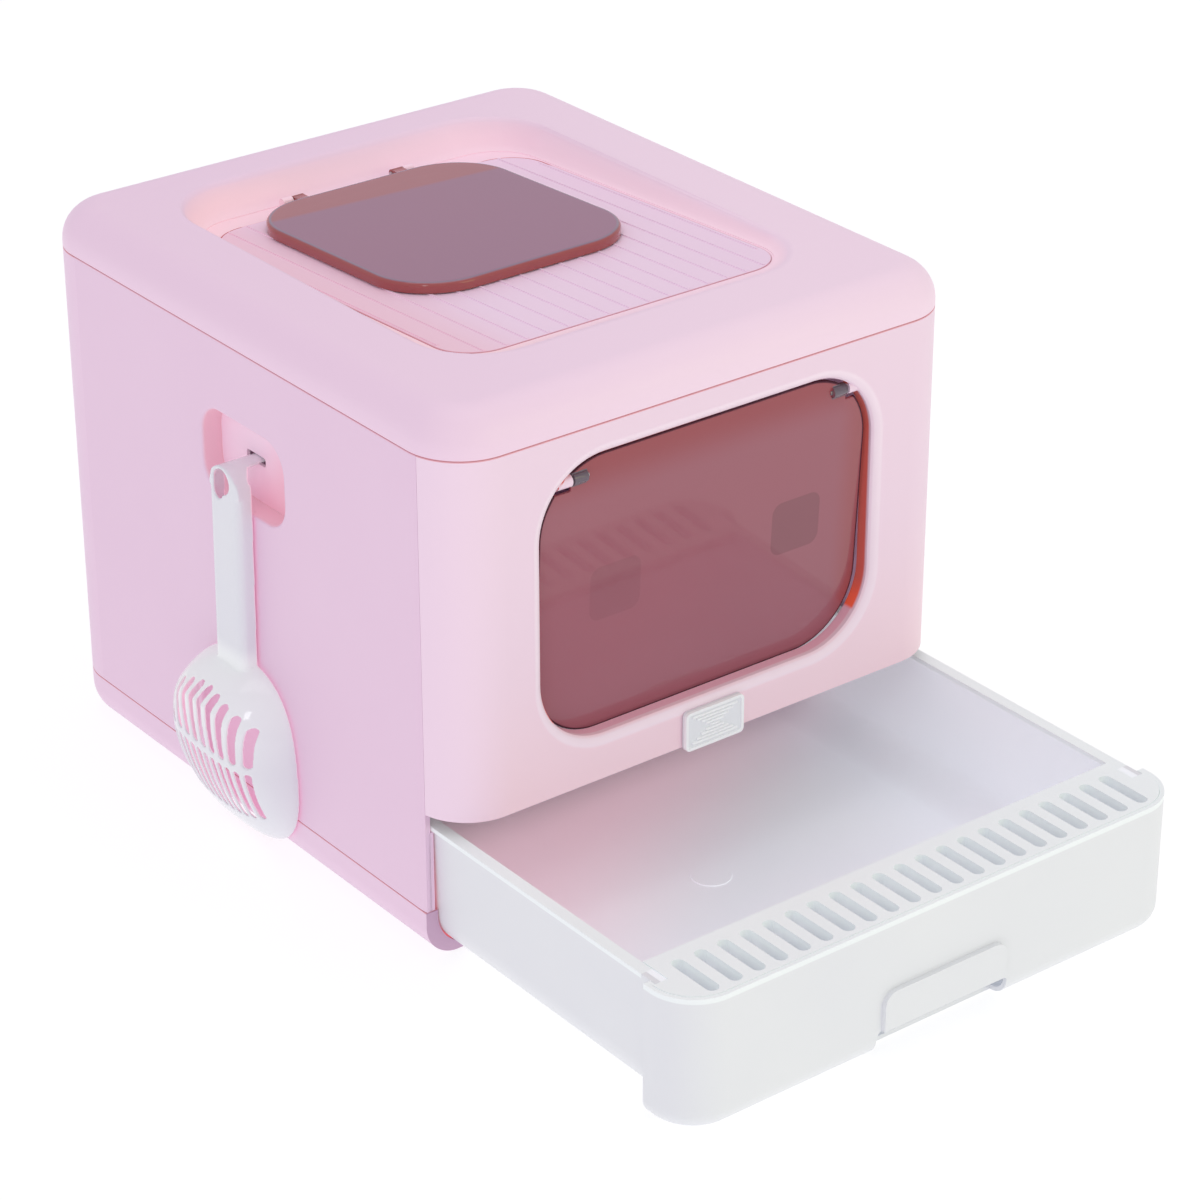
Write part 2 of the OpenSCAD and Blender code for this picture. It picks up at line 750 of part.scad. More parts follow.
module drawer_fascia() {
  h = rim_z - fascia_z;
  cx = half_w - fascia_r;
  cy = -fascia_front_y - fascia_r;
  side_x = tray_half_w + rim_out + 0.3;
  color(white) difference() {
    union() {
      translate([0, 0, fascia_z]) fascia_wrap() tub_wall(fascia_r, fascia_edge_r, h, fascia_t);
      // floor between the swept edges
      translate([-cx, -cy - eps, fascia_z]) cube([2 * cx, fascia_rear_y + cy + eps, fascia_t]);
      // sides that run on past the tray's front wall
      for (s = [0, 1]) mirror([s, 0, 0])
        translate([0, fascia_end_y, fascia_z]) rotate([90, 0, 0])
          linear_extrude(fascia_end_y - fascia_rear_y + 1) intersection() {
            tub_half(half_w, fascia_edge_r, h);
            translate([side_x, 0]) square([half_w - side_x, h]);
          }
      // ledge under the grate
      fascia_wrap() translate([fascia_r - fascia_t - 4, grate_z - grate_t - 2.4]) square([4.5, 2.4]);
      // raised handle
      translate([0, fascia_front_y + 1, (handle_z0 + handle_z1) / 2]) rotate([90, 0, 0])
        linear_extrude(handle_rise + 1) round_rect(handle_w, handle_z1 - handle_z0, 9);
    }
    // hollow behind the handle, open to the finger cut-out
    translate([0, fascia_front_y + 10, (handle_z0 + handle_z1) / 2 - 6]) rotate([90, 0, 0])
      linear_extrude(handle_rise + 10 - 2.6) round_rect(handle_w - 8, handle_z1 - handle_z0 + 6, 7);
    // finger cut-out in the lower edge
    translate([0, fascia_front_y + 14, fascia_z + 7]) rotate([90, 0, 0])
      linear_extrude(30) round_rect(2 * 54, 24, 6);
    // trim the rim to the grate's outline
    translate([0, 0, grate_z - grate_t]) linear_extrude(10) grate_plan(0.3);
  }
}

grate_y0 = fascia_front_y + 3.2;
grate_y1 = tray_front_y + 23;
grate_step_y = tray_front_y + 1;
grate_half_front = half_w - 3.2;
grate_half_rear = tray_half_w - rim_in - 0.3;

module grate_plan(grow) {
  r = fascia_r - 3.2 + grow;
  union() {
    translate([-grate_half_rear - grow, grate_step_y - 8])
      square([2 * (grate_half_rear + grow), grate_y1 - grate_step_y + 8 + grow]);
    intersection() {
      translate([0, grate_y0 - grow + 60]) round_rect(2 * (grate_half_front + grow), 120, r);
      translate([-half_w, grate_y0 - 5]) square([body_w, fascia_rear_y - grate_y0 + 5 + grow]);
    }
  }
}

slot_w = 9;
slot_y0 = fascia_front_y + 7;
slot_len = 40;

module drawer_grate() {
  color(white) union() {
    difference() {
      translate([0, 0, grate_z - grate_t]) linear_extrude(grate_t) grate_plan(0);
      for (i = [0 : slot_count - 1])
        translate([(i - (slot_count - 1) / 2) * slot_pitch, slot_y0 + slot_len / 2, grate_z - grate_t - 1])
          linear_extrude(grate_t + 2) round_rect(slot_w, slot_len, slot_w / 2 - 0.1);
    }
    // stiffening rib under the inner edge
    translate([-grate_half_rear, grate_y1 - 2.4, grate_z - 9]) cube([2 * grate_half_rear, 2.4, 8]);
  }
}

// ---------- scoop ----------

scoop_x = -half_w - 1.8;                  // plane of the blade's rim, just off the side panel
blade_y = -1;
blade_apex_z = 116;                       // height of the blade's deepest point
blade_top_z = 137;
blade_tip_z = 7;
blade_t = 2.2;
blade_rings = 10;
blade_points = 40;
handle_y = -5;
handle_half_w = 17;
handle_top_z = 277.3;
handle_depth = 12;
handle_lean = 1.4;                        // the handle's foot stands this many degrees to the rear
hook_w = 14;                              // width of the hook where it enters the slot

// Sine or cosine drawn towards a squarer outline.
function squared(v) = sign(v) * pow(abs(v), 0.74);

// Ring of the blade at angle a (0 at the rim, 90 at the deepest point), shrunk by t.
function blade_ring(a, t) =
  let (c = cos(a),
       top = blade_apex_z + (blade_top_z - blade_apex_z - t) * pow(c, 1.8),
       low = blade_apex_z - (blade_apex_z - blade_tip_z - t) * c,
       hw = (blade_half_w - t) * pow(c, 0.65))
  [for (i = [0 : blade_points - 1])
    let (p = 360 * i / blade_points,
         up = squared(sin(p)))
    [scoop_x - (blade_depth - t) * pow(sin(a), 1.4),
     blade_y + hw * squared(cos(p)) * (1 - 0.07 * up),
     (top + low) / 2 + (top - low) / 2 * up]];

module blade_skin(t, lift) {
  skin(concat(
    lift > 0 ? [[for (p = blade_ring(0, t)) [p[0] + lift, p[1], p[2]]]] : [],
    [for (k = [0 : blade_rings]) blade_ring(88 * k / blade_rings, t)]));
}

upper_pitch = 9.75;
lower_pitch = 7.9;
upper_slot_w = 5.5;
lower_slot_w = 4.6;

// Two rows of slots, with a rib between them that rises a little towards the rear.
module blade_slot_cuts() {
  for (i = [0 : upper_slots - 1]) {
    dy = (i - (upper_slots - 1) / 2) * upper_pitch;
    blade_slot(blade_y + dy, 82 + 0.05 * dy, 125 - 0.009 * dy * dy, upper_slot_w);
  }
  for (i = [0 : lower_slots - 1]) {
    dy = (i - (lower_slots - 1) / 2) * lower_pitch;
    blade_slot(blade_y + dy, 31.5 + 0.0034 * dy * dy, 77 + 0.05 * dy, lower_slot_w);
  }
}

module blade_slot(y, z0, z1, w) {
  translate([scoop_x + 5, y, (z0 + z1) / 2]) rotate([90, 0, -90])
    linear_extrude(blade_depth + 10) round_rect(w, z1 - z0, w / 2 - 0.1);
}

// Front view of the handle, narrowed by t, with its half-round top.
module handle_front(t) {
  h = 2 * (handle_top_z - blade_top_z);
  round_rect(2 * (handle_half_w - t), h - 2 * t, handle_half_w - 0.5 - t);
}

module scoop() {
  $fn = 20;
  color(white) union() {
    difference() {
      blade_skin(0, 0);
      blade_skin(blade_t, 2);
      blade_slot_cuts();
    }
    difference() {
      translate([scoop_x, handle_y, handle_top_z]) rotate([handle_lean, 0, 0]) handle_and_hook();
      blade_skin(blade_t, 2);
    }
  }
}

// Handle and hook drawn from the top of the handle, on the plane of the blade's rim.
module handle_and_hook() {
  len = handle_top_z - blade_top_z + 8;
  hook_y = hook_slot_y - handle_y;
  hook_end_x = -half_w + pocket_depth + wall + 2 - scoop_x;
  face_x = -handle_depth;
  difference() {
    union() {
      // channel-shaped handle
      intersection() {
        translate([0, 0, -len]) linear_extrude(len) handle_section();
        translate([face_x - 5, 0, blade_top_z - handle_top_z]) rotate([90, 0, 90])
          linear_extrude(40) handle_front(0);
      }
      // hook that turns back over the top and narrows towards the slot in the pocket
      intersection() {
        translate([face_x, 0, blade_top_z - handle_top_z]) rotate([90, 0, 90]) linear_extrude(60)
          difference() {
            handle_front(0);
            handle_front(blade_t);
          }
        translate([0, 0, -18]) linear_extrude(20) polygon([
          [face_x + 1, -handle_half_w], [-3, -handle_half_w],
          [4, hook_y - hook_w / 2 - 2], [hook_end_x, hook_y - hook_w / 2],
          [hook_end_x, hook_y + hook_w / 2], [4, hook_y + hook_w / 2 + 1],
          [-3, handle_half_w], [face_x + 1, handle_half_w]]);
      }
    }
    // hanging hole, wider at its top
    translate([face_x - 5, 5.5, -14]) rotate([90, 0, 90])
      linear_extrude(handle_depth / 2 + 2) round_rect(10, 20, 4.9);
    translate([face_x - 5, 0, -9.5]) rotate([90, 0, 90])
      linear_extrude(handle_depth / 2 + 2) circle(6, $fn = 40);
  }
}

// U section of the handle, open towards the wall, its open edge on x = 0.
module handle_section() {
  difference() {
    translate([-handle_depth, -handle_half_w]) square([handle_depth, 2 * handle_half_w]);
    translate([-handle_depth + blade_t, -handle_half_w + blade_t]) square([20, 2 * (handle_half_w - blade_t)]);
    for (s = [-1, 1]) translate([-handle_depth, s * handle_half_w]) difference() {
      square(12, center = true);
      translate([6, -s * 6]) circle(6);
    }
  }
}

base_tray();
left_panel();
right_panel();
front_panel();
rear_panel();
latch_guide();
latch_slider();
front_door();
door_pin(-1);  // door_pin_left
door_pin(1);  // door_pin_right
lid();
lid_plate();
top_flap();
flap_pin(flap_pin_x[0]);  // flap_pin_left
flap_pin(flap_pin_x[1]);  // flap_pin_right
drawer_tray();
drawer_fascia();
drawer_grate();
scoop();
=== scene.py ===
import json
import math

import bmesh
import bpy
from bmesh.types import BMEdge, BMVert
from mathutils import Euler, Matrix, Vector


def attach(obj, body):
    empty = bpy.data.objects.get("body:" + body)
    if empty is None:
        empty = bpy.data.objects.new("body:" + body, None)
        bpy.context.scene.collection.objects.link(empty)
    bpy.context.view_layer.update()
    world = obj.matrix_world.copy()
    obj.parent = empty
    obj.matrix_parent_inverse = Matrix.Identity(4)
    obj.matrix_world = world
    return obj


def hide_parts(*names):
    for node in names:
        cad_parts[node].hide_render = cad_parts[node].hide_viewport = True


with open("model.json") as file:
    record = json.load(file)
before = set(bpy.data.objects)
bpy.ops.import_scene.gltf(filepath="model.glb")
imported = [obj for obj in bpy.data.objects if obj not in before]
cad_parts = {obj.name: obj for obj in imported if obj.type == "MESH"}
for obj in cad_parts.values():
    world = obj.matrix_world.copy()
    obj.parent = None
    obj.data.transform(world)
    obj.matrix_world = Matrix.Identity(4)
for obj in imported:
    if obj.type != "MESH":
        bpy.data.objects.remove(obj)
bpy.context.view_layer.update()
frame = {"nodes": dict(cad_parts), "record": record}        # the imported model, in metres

mm = 0.001
scene = bpy.context.scene
scene.view_settings.view_transform = "Standard"
scene.view_settings.look = "None"
print("frame loaded:", len(frame["nodes"]), "nodes")


def meshFrom(bm, name):                  # a mesh that takes the place of the bmesh
    mesh = bpy.data.meshes.new(name)
    bm.to_mesh(mesh)
    bm.free()
    return mesh


def placed(name, data):                  # a new object in the scene
    made = bpy.data.objects.new(name, data)
    scene.collection.objects.link(made)
    return made


camera = {                               # solved from the box's own edges
    "place": (-1.3577, -1.8726, 1.3138),
    "azimuth": -37.72,                   # degrees, 0 looks along +Y
    "elevation": 27.50,                  # degrees above the floor
    "roll": -0.07,
    "lens": 113.4, "sensor": 36,         # mm
    "clip": (0.05, 40),
}


def makeCamera():
    data = bpy.data.cameras.new("camera")
    data.lens = camera["lens"]
    data.sensor_width = camera["sensor"]
    data.clip_start, data.clip_end = camera["clip"]
    az = math.radians(camera["azimuth"])
    el = math.radians(camera["elevation"])
    back = Vector((math.sin(az) * math.cos(el), -math.cos(az) * math.cos(el), math.sin(el)))
    turn = (-back).to_track_quat("-Z", "Y").to_matrix()
    roll = Matrix.Rotation(math.radians(camera["roll"]), 3, "Z")
    made = placed("camera", data)
    made.matrix_world = Matrix.Translation(camera["place"]) @ (turn @ roll).to_4x4()
    scene.camera = made


studio = {
    "worldColor": (0.96, 0.95, 1.0), "worldStrength": 0.66,
    "floorSize": 26.0, "floorColor": (0.30, 0.30, 0.31), "floorRough": 0.6,
    "floorGlow": 0.76,                   # keeps the floor as pale as the backdrop
}
lamps = {                                # place, aim, width, height, watts, colour
    "key": ((0.9, -2.6, 1.3), (0.0, -0.2, 0.2), 1.2, 1.2, 8, (0.92, 1.0, 0.45)),
    "top": ((0.2, 0.1, 3.0), (0.0, 0.0, 0.3), 2.4, 2.4, 14, (1.0, 0.98, 1.0)),
    "window": ((-1.9, -1.5, 1.9), (-0.1, -0.1, 0.2), 0.35, 0.7, 4, (0.97, 0.97, 1.0)),
}


def makeStudio():
    world = bpy.data.worlds.new("studio")
    scene.world = world
    world.use_nodes = True
    sky = world.node_tree.nodes["Background"]
    sky.inputs["Color"].default_value = (*studio["worldColor"], 1)
    sky.inputs["Strength"].default_value = studio["worldStrength"]
    for name, (place, aim, width, height, watts, color) in lamps.items():
        data = bpy.data.lights.new(name, "AREA")
        data.shape = "RECTANGLE"
        data.size = width
        data.size_y = height
        data.energy = watts
        data.color = color
        made = placed(name, data)
        made.location = place
        made.rotation_euler = (Vector(place) - Vector(aim)).to_track_quat("Z", "Y").to_euler()
    paint = bpy.data.materials.new("paleFloor")
    paint.use_nodes = True
    shader = paint.node_tree.nodes["Principled BSDF"]
    shader.inputs["Base Color"].default_value = (*studio["floorColor"], 1)
    shader.inputs["Roughness"].default_value = studio["floorRough"]
    shader.inputs["Emission Color"].default_value = (1, 1, 1, 1)
    shader.inputs["Emission Strength"].default_value = studio["floorGlow"]
    bm = bmesh.new()
    bmesh.ops.create_grid(bm, x_segments=1, y_segments=1, size=studio["floorSize"] / 2)
    floor = placed("floor", meshFrom(bm, "floor"))
    floor.data.materials.append(paint)


makeCamera()
makeStudio()
print("camera, floor and lamps made")


# shader maths: a Wire is an output socket that adds its own Math nodes

class Wire:
    def __init__(self, finish, socket):
        self.finish = finish
        self.socket = socket

    def math(self, operation, *others):
        inputs = dict(enumerate((self, *others)))
        return self.finish.node("ShaderNodeMath", {"operation": operation}, inputs)

    def __add__(self, other):
        return self.math("ADD", other)

    def __mul__(self, other):
        return self.math("MULTIPLY", other)

    def __sub__(self, other):
        return self.math("SUBTRACT", other)

    def __rsub__(self, other):
        return self.finish.node("ShaderNodeMath", {"operation": "SUBTRACT"}, {0: other, 1: self})

    __radd__ = __add__
    __rmul__ = __mul__

    def size(self):
        return self.math("ABSOLUTE")

    def atLeast(self, low):
        return self.math("MAXIMUM", low)

    def above(self, edge, soft):         # 0 below edge, 1 above it, over a soft width
        return self.finish.node("ShaderNodeMapRange", {"interpolation_type": "SMOOTHSTEP"},
                                {"Value": self, "From Min": edge - soft, "From Max": edge + soft})

    def between(self, low, high):        # 1 from low to high, each an (edge, soft) pair
        return self.above(*low) * (1 - self.above(*high))


class Finish:
    def __init__(self, name, **fixed):
        self.material = bpy.data.materials.new(name)
        self.material.use_nodes = True
        self.tree = self.material.node_tree
        self.shader = self.tree.nodes["Principled BSDF"]
        for key, value in fixed.items():
            self.shader.inputs[key.replace("_", " ")].default_value = value
        self.place = self.node("ShaderNodeTexCoord", out="Object")

    def node(self, kind, settings=None, links=None, out=0):
        made = self.tree.nodes.new(kind)
        for key, value in (settings or {}).items():
            setattr(made, key, value)
        for key, value in (links or {}).items():
            self.feed(made.inputs[key], value)
        return Wire(self, made.outputs[out])

    def feed(self, socket, value):
        if isinstance(value, Wire):
            self.tree.links.new(value.socket, socket)
        else:
            socket.default_value = value

    def set(self, name, value):
        self.feed(self.shader.inputs[name], value)

    def axes(self):                      # the piece's own x, y and z, in metres
        parts = self.node("ShaderNodeSeparateXYZ", links={0: self.place}).socket.node
        return [Wire(self, parts.outputs[i]) for i in range(3)]

    def noise(self, scale, detail=2.0, rough=0.5, stretch=(1, 1, 1)):
        spot = self.node("ShaderNodeMapping", links={"Vector": self.place, "Scale": stretch})
        links = {"Vector": spot, "Scale": scale, "Detail": detail, "Roughness": rough}
        return self.node("ShaderNodeTexNoise", links=links, out="Fac")

    def mix(self, share, a, b):          # a where share is 0, b where it is 1
        return self.node("ShaderNodeMix", {"data_type": "RGBA"}, {0: share, 6: a, 7: b}, out=2)

    def glow(self, color):               # light that comes through a thin wall
        self.set("Emission Color", color)
        self.shader.inputs["Emission Strength"].default_value = 1.0

    def bump(self, height, strength, distance):
        links = {"Height": height, "Strength": strength, "Distance": distance}
        self.set("Normal", self.node("ShaderNodeBump", links=links))


def fromCorner(a, b):                    # distance from the point a = b = 0, nothing counted below 0
    a, b = a.atLeast(0.0), b.atLeast(0.0)
    return (a * a + b * b).math("SQRT")


def fromOutline(a, b, halfA, halfB, radius):     # distance outside a round-cornered rectangle
    a = a.size() - (halfA - radius)
    b = b.size() - (halfB - radius)
    return fromCorner(a, b) + a.atLeast(b).math("MINIMUM", 0.0) - radius


def rgb(red, green, blue):               # from display values, 0 to 255
    return tuple(((c / 255 + 0.055) / 1.055) ** 2.4 for c in (red, green, blue)) + (1,)


black = (0, 0, 0, 1)

# in the finishes' dictionaries, in metres: a mask is (edge, soft half-width) and an outline is (half width,
# half height, corner radius); a noise is (scale, detail, roughness, stretch) or its first few

shell = {
    "outside": rgb(245, 214, 236), "shade": rgb(240, 206, 231), "specular": 0.35,
    "cloud": (7.0, 3.0), "cloudBand": (0.5, 0.35), "cloudShare": 0.5,
    "seam": rgb(232, 158, 168),          # coral line where two walls meet
    "lidSeam": (0.355, 0.0007), "baseSeam": (0.035, 0.0006),     # height and half-width
    "seamSoft": 0.0002, "seamShare": 0.8,
    "rough": 0.37, "roughSpread": 0.10, "roughScale": 60.0,
    "grain": (900.0, 2.0, 0.6), "grainStrength": 0.35, "grainHeight": 0.00003,
    "gapGlow": (0.38, 0.07, 0.07, 1),    # red light in the gap beside the drawer
    "gapY": ((-0.1985, 0.0005), (-0.15, 0.03)),
}


def seamed(f, color, z):                 # hairlines under the lid and over the base
    clear = [(z - height).size().above(half, shell["seamSoft"])
             for height, half in (shell["lidSeam"], shell["baseSeam"])]
    return f.mix((1 - clear[0] * clear[1]) * shell["seamShare"], color, shell["seam"])


def pinkShell(name, paint=None):
    f = Finish(name, Specular_IOR_Level=shell["specular"])
    cloud = f.noise(*shell["cloud"]).above(*shell["cloudBand"]) * shell["cloudShare"]
    x, y, z = f.axes()
    color = seamed(f, f.mix(cloud, shell["outside"], shell["shade"]), z)
    f.set("Base Color", paint(f, color, x, y, z) if paint else color)
    f.set("Roughness", f.noise(shell["roughScale"]) * shell["roughSpread"] + shell["rough"])
    f.bump(f.noise(*shell["grain"]), shell["grainStrength"], shell["grainHeight"])
    return f.material


doorway = {
    "outline": (0.134, 0.098, 0.050), "middleZ": 0.236,
    "low": rgb(254, 221, 230),           # painted light: the panel is warmer towards the drawer
    "high": rgb(247, 220, 237), "highZ": (0.15, 0.09),
    # painted light: the rounded corner is a little paler
    "corner": rgb(250, 223, 241), "cornerX": (-0.175, 0.02),
    "flange": ((-0.0010, 0.0004), (0.0009, 0.0004)),     # distance outside the outline
    "leftY": (-0.2305, 0.0004), "rightY": (-0.2280, 0.0012), "rightX": (0, 0.02),
    "edge": rgb(206, 92, 84),            # coral where the turned-in edge is lit from behind
    # painted light as well: orange on the lower part of the lit edge, which also glows
    "foot": rgb(250, 96, 60), "footZ": (0.170, 0.009),
    "edgeGlow": (0.10, 0.018, 0.014, 1),
    # painted shade on the sill, darker towards the door
    "sill": rgb(247, 188, 206), "sillZ": (0.1582, 0.0012),
    "sillOuter": rgb(253, 216, 228), "sillY": (-0.2268, 0.0006),
    # painted highlight along the rounded lip
    "lip": rgb(254, 233, 246), "lipBand": ((0.0012, 0.0006), (0.0065, 0.0012)),
}


def doorwayEdge(f, color, x, y, z):      # the turned-in edge of the doorway, with painted light and shade on it and on the panel
    color = f.mix(z.above(*doorway["highZ"]), doorway["low"], doorway["high"])
    color = seamed(f, f.mix(x.above(*doorway["cornerX"]), doorway["corner"], color), z)
    out = fromOutline(x, z - doorway["middleZ"], *doorway["outline"])
    right = x.above(*doorway["rightX"])
    deep = right * y.above(*doorway["rightY"]) + (1 - right) * y.above(*doorway["leftY"])
    flange = out.between(*doorway["flange"]) * deep
    upper = z.above(*doorway["sillZ"])
    warm = f.mix(1 - z.above(*doorway["footZ"]), doorway["edge"], doorway["foot"])
    f.glow(f.mix(flange * upper, black, doorway["edgeGlow"]))
    sill = f.mix(y.above(*doorway["sillY"]), doorway["sillOuter"], doorway["sill"])
    color = f.mix(out.between(*doorway["lipBand"]), color, doorway["lip"])
    return f.mix(flange, color, f.mix(upper, sill, warm))


pocket = {                               # where the scoop hangs
    "outline": (0.047, 0.0295, 0.020), "middleY": -0.0085, "middleZ": 0.2745,
    # painted shade: the whole left panel is a little darker
    "panel": rgb(238, 205, 229), "sideShadeShare": 0.4,
    "inside": (0.0012, 0.0006), "insideX": (-0.2036, 0.0010), "wallBand": (-0.0007, 0.0004),
    "wall": rgb(236, 184, 202),          # painted shade: deeper pink on the pocket's wall, where light has passed through it
    # painted light and shade: a paler floor, shaded on its lower front part
    "floor": rgb(252, 220, 240), "shadedFloor": rgb(244, 184, 206),
    "floorShadeLean": 0.7, "floorShadeBand": (-0.168, 0.024),        # painted shade on the lower part of the floor, towards the front
    # painted light: the pocket's floor and walls glow a little
    "floorGlow": (0.05, 0.05, 0.05, 1), "wallGlow": (0.10, 0.085, 0.085, 1),
    "gapX": (-0.2030, 0.0003), "gapZ": (0.097, 0.002),
}


def pocketLightAndShade(f, color, x, y, z):      # painted light and shade inside the scoop's pocket, and painted shade over the panel
    color = f.mix(pocket["sideShadeShare"], color, pocket["panel"])
    out = fromOutline(y - pocket["middleY"], z - pocket["middleZ"], *pocket["outline"])
    inside = (1 - out.above(*pocket["inside"])) * x.above(*pocket["insideX"])
    wall = inside * out.above(*pocket["wallBand"])
    floorShade = (y * -1 - z * pocket["floorShadeLean"]).above(*pocket["floorShadeBand"])
    floor = f.mix(floorShade, pocket["floor"], pocket["shadedFloor"])
    deep = f.mix((floorShade + wall).math("MINIMUM", 1.0), pocket["floorGlow"], pocket["wallGlow"])
    gap = x.above(*pocket["gapX"]) * (1 - z.above(*pocket["gapZ"])) * y.between(*shell["gapY"])
    f.glow(f.mix(gap, f.mix(inside, black, deep), shell["gapGlow"]))
    return f.mix(wall, f.mix(inside, color, floor), pocket["wall"])


recess = {
    "outline": (0.148, 0.1785, 0.056), "middleY": 0.0075,
    "lidShadedRear": rgb(248, 217, 238), "lidLitFront": rgb(253, 225, 242),
    "lidLightLean": 0.6, "lidLightBand": (0.02, 0.20),             # painted light: the lid is paler towards the front right
    "wallBand": (-0.004, 0.006), "wallZ": (0.3815, 0.0018), "share": 0.8,
    # painted shade: the sloping wall is deeper pink, warmer on the left
    "right": rgb(250, 206, 226), "left": rgb(252, 204, 216), "rightX": (-0.05, 0.08),
    # painted light: the sloping wall glows a little
    "glow": (0.09, 0.10, 0.085, 1),
}


def recessLightAndShade(f, color, x, y, z):      # painted light and shade on the lid and the sloping wall of its recess
    lidLight = (x - y * recess["lidLightLean"]).above(*recess["lidLightBand"])
    color = seamed(f, f.mix(lidLight, recess["lidShadedRear"], recess["lidLitFront"]), z)
    out = fromOutline(x, y - recess["middleY"], *recess["outline"])
    wall = (1 - out.above(*recess["wallBand"])) * (1 - z.above(*recess["wallZ"]))
    f.glow(f.mix(wall, black, recess["glow"]))
    warm = f.mix(x.above(*recess["rightX"]), recess["left"], recess["right"])
    return f.mix(wall * recess["share"], color, warm)


base = {
    # painted shade: darker along the lower edge and on the front ends
    "low": rgb(230, 199, 224), "lowZ": (0.012, 0.008),
    "end": rgb(206, 170, 197), "endY": (-0.2018, 0.0003),
    "corner": (0.1805, 0.024), "hollow": (0.0225, 0.0003), "gapY": ((-0.1985, 0.0005), (-0.17, 0.02)),
}


def baseShade(f, color, x, y, z):        # painted shade on the front ends and lower edge of the base
    cornerX, cornerZ = base["corner"]
    hollow = 1 - fromCorner(x.size() - cornerX, cornerZ - z).above(*base["hollow"])
    f.glow(f.mix(hollow * y.between(*base["gapY"]), black, shell["gapGlow"]))
    return f.mix(y.above(*base["endY"]), base["end"], f.mix(z.above(*base["lowZ"]), base["low"], color))


plate = {
    "outline": (0.131, 0.1485, 0.030), "middleY": -0.0015,
    "pale": rgb(253, 225, 245), "paleShare": 0.6,
    "left": rgb(249, 207, 224), "leftX": (-0.095, 0.03),
    "line": rgb(196, 84, 92),
    "arc": (-0.0012, 0.0003), "arcY": (0.108, 0.004), "arcX": (0.100, 0.002),
    "side": (-0.0006, 0.0002), "sideShare": 0.45,
}


def plateLines(f, color, x, y, z):       # red hairline round the plate, stronger at its rear corners
    out = fromOutline(x, y - plate["middleY"], *plate["outline"])
    arc = out.above(*plate["arc"]) * y.above(*plate["arcY"]) * x.size().above(*plate["arcX"])
    side = out.above(*plate["side"]) * plate["sideShare"]
    color = f.mix(x.above(*plate["leftX"]), plate["left"], f.mix(plate["paleShare"], color, plate["pale"]))
    return f.mix((arc + side).math("MINIMUM", 1.0), color, plate["line"])


satin = {
    "white": rgb(238, 239, 242), "cool": rgb(234, 235, 240), "specular": 0.4,
    "cloud": (9.0, 3.0), "cloudBand": (0.5, 0.4),
    "rough": 0.30, "roughSpread": 0.12, "roughScale": 40.0,
    "grain": (700.0, 2.0, 0.6), "grainStrength": 0.3, "grainHeight": 0.00002,
    "rimGlow": (0.10, 0.125, 0.11, 1),   # light through the thin upper edges
}


def whiteSatin(name="whiteSatin", paint=None):
    f = Finish(name, Specular_IOR_Level=satin["specular"])
    color = f.mix(f.noise(*satin["cloud"]).above(*satin["cloudBand"]), satin["white"], satin["cool"])
    f.set("Base Color", paint(f, color, *f.axes()) if paint else color)
    f.set("Roughness", f.noise(satin["roughScale"]) * satin["roughSpread"] + satin["rough"])
    f.bump(f.noise(*satin["grain"]), satin["grainStrength"], satin["grainHeight"])
    return f.material


tray = {
    "corner": (0.1685, 0.031), "wall": (0.0265, 0.0004),         # lower edge of the inside
    "lean": 0.0125, "leanTop": 0.094,    # the sides lean in below leanTop, by a share of x at the floor
    "litY": (-0.095, 0.04),
    "pink": (0.37, 0.215, 0.265, 1),     # pink thrown into the drawer by the cabin
    "pale": (0.185, 0.20, 0.215, 1), "pinkLean": (6.7, 4.0), "pinkBand": (-1.325, 0.55),
    "rimZ": (0.0930, 0.0006), "rimY": (-0.4135, 0.0005),
}


def trayInside(f, color, x, y, z):       # light through the drawer's thin walls
    cornerX, cornerZ = tray["corner"]
    upright = x.size() * (1 + tray["lean"] - z * (tray["lean"] / tray["leanTop"]))       # without the lean
    out = fromCorner(upright - cornerX, cornerZ - z)
    inside = (1 - out.above(*tray["wall"])) * (1 - y.above(*tray["litY"]))
    along, across = tray["pinkLean"]
    glow = f.mix((y * along - x * across).above(*tray["pinkBand"]), tray["pale"], tray["pink"])
    rim = z.above(*tray["rimZ"]) * y.above(*tray["rimY"])
    f.glow(f.mix(rim, f.mix(inside, black, glow), satin["rimGlow"]))
    return color


front = {
    "corner": (0.1715, -0.428), "sweep": (0.0195, 0.0155),       # rounding in plan, then towards the floor
    "wall": (0.0120, 0.0004), "litZ": (0.05, 0.01), "glow": (0.20, 0.20, 0.21, 1),
    "opening": (0.184, 0.0205, 0.002), "openingY": -0.434,
    "rimZ": (0.0935, 0.0005), "rimBand": (0, 0.0005),
}


def frontInside(f, color, x, y, z):      # light inside the drawer's front, under the grate
    cornerX, cornerY = front["corner"]
    sweepOut, sweepZ = front["sweep"]
    out = fromCorner(fromCorner(x.size() - cornerX, cornerY - y) - sweepOut, sweepZ - z)
    inside = (1 - out.above(*front["wall"])) * z.above(*front["litZ"])
    around = fromOutline(x, y - front["openingY"], *front["opening"]).above(*front["rimBand"])
    f.glow(f.mix(z.above(*front["rimZ"]) * around, f.mix(inside, black, front["glow"]), satin["rimGlow"]))
    return color


grate = {"topZ": (0.091, 0.005)}


def grateTop(f, color, x, y, z):         # light through the upper part of the ribs
    f.glow(f.mix(z.above(*grate["topZ"]), black, satin["rimGlow"]))
    return color


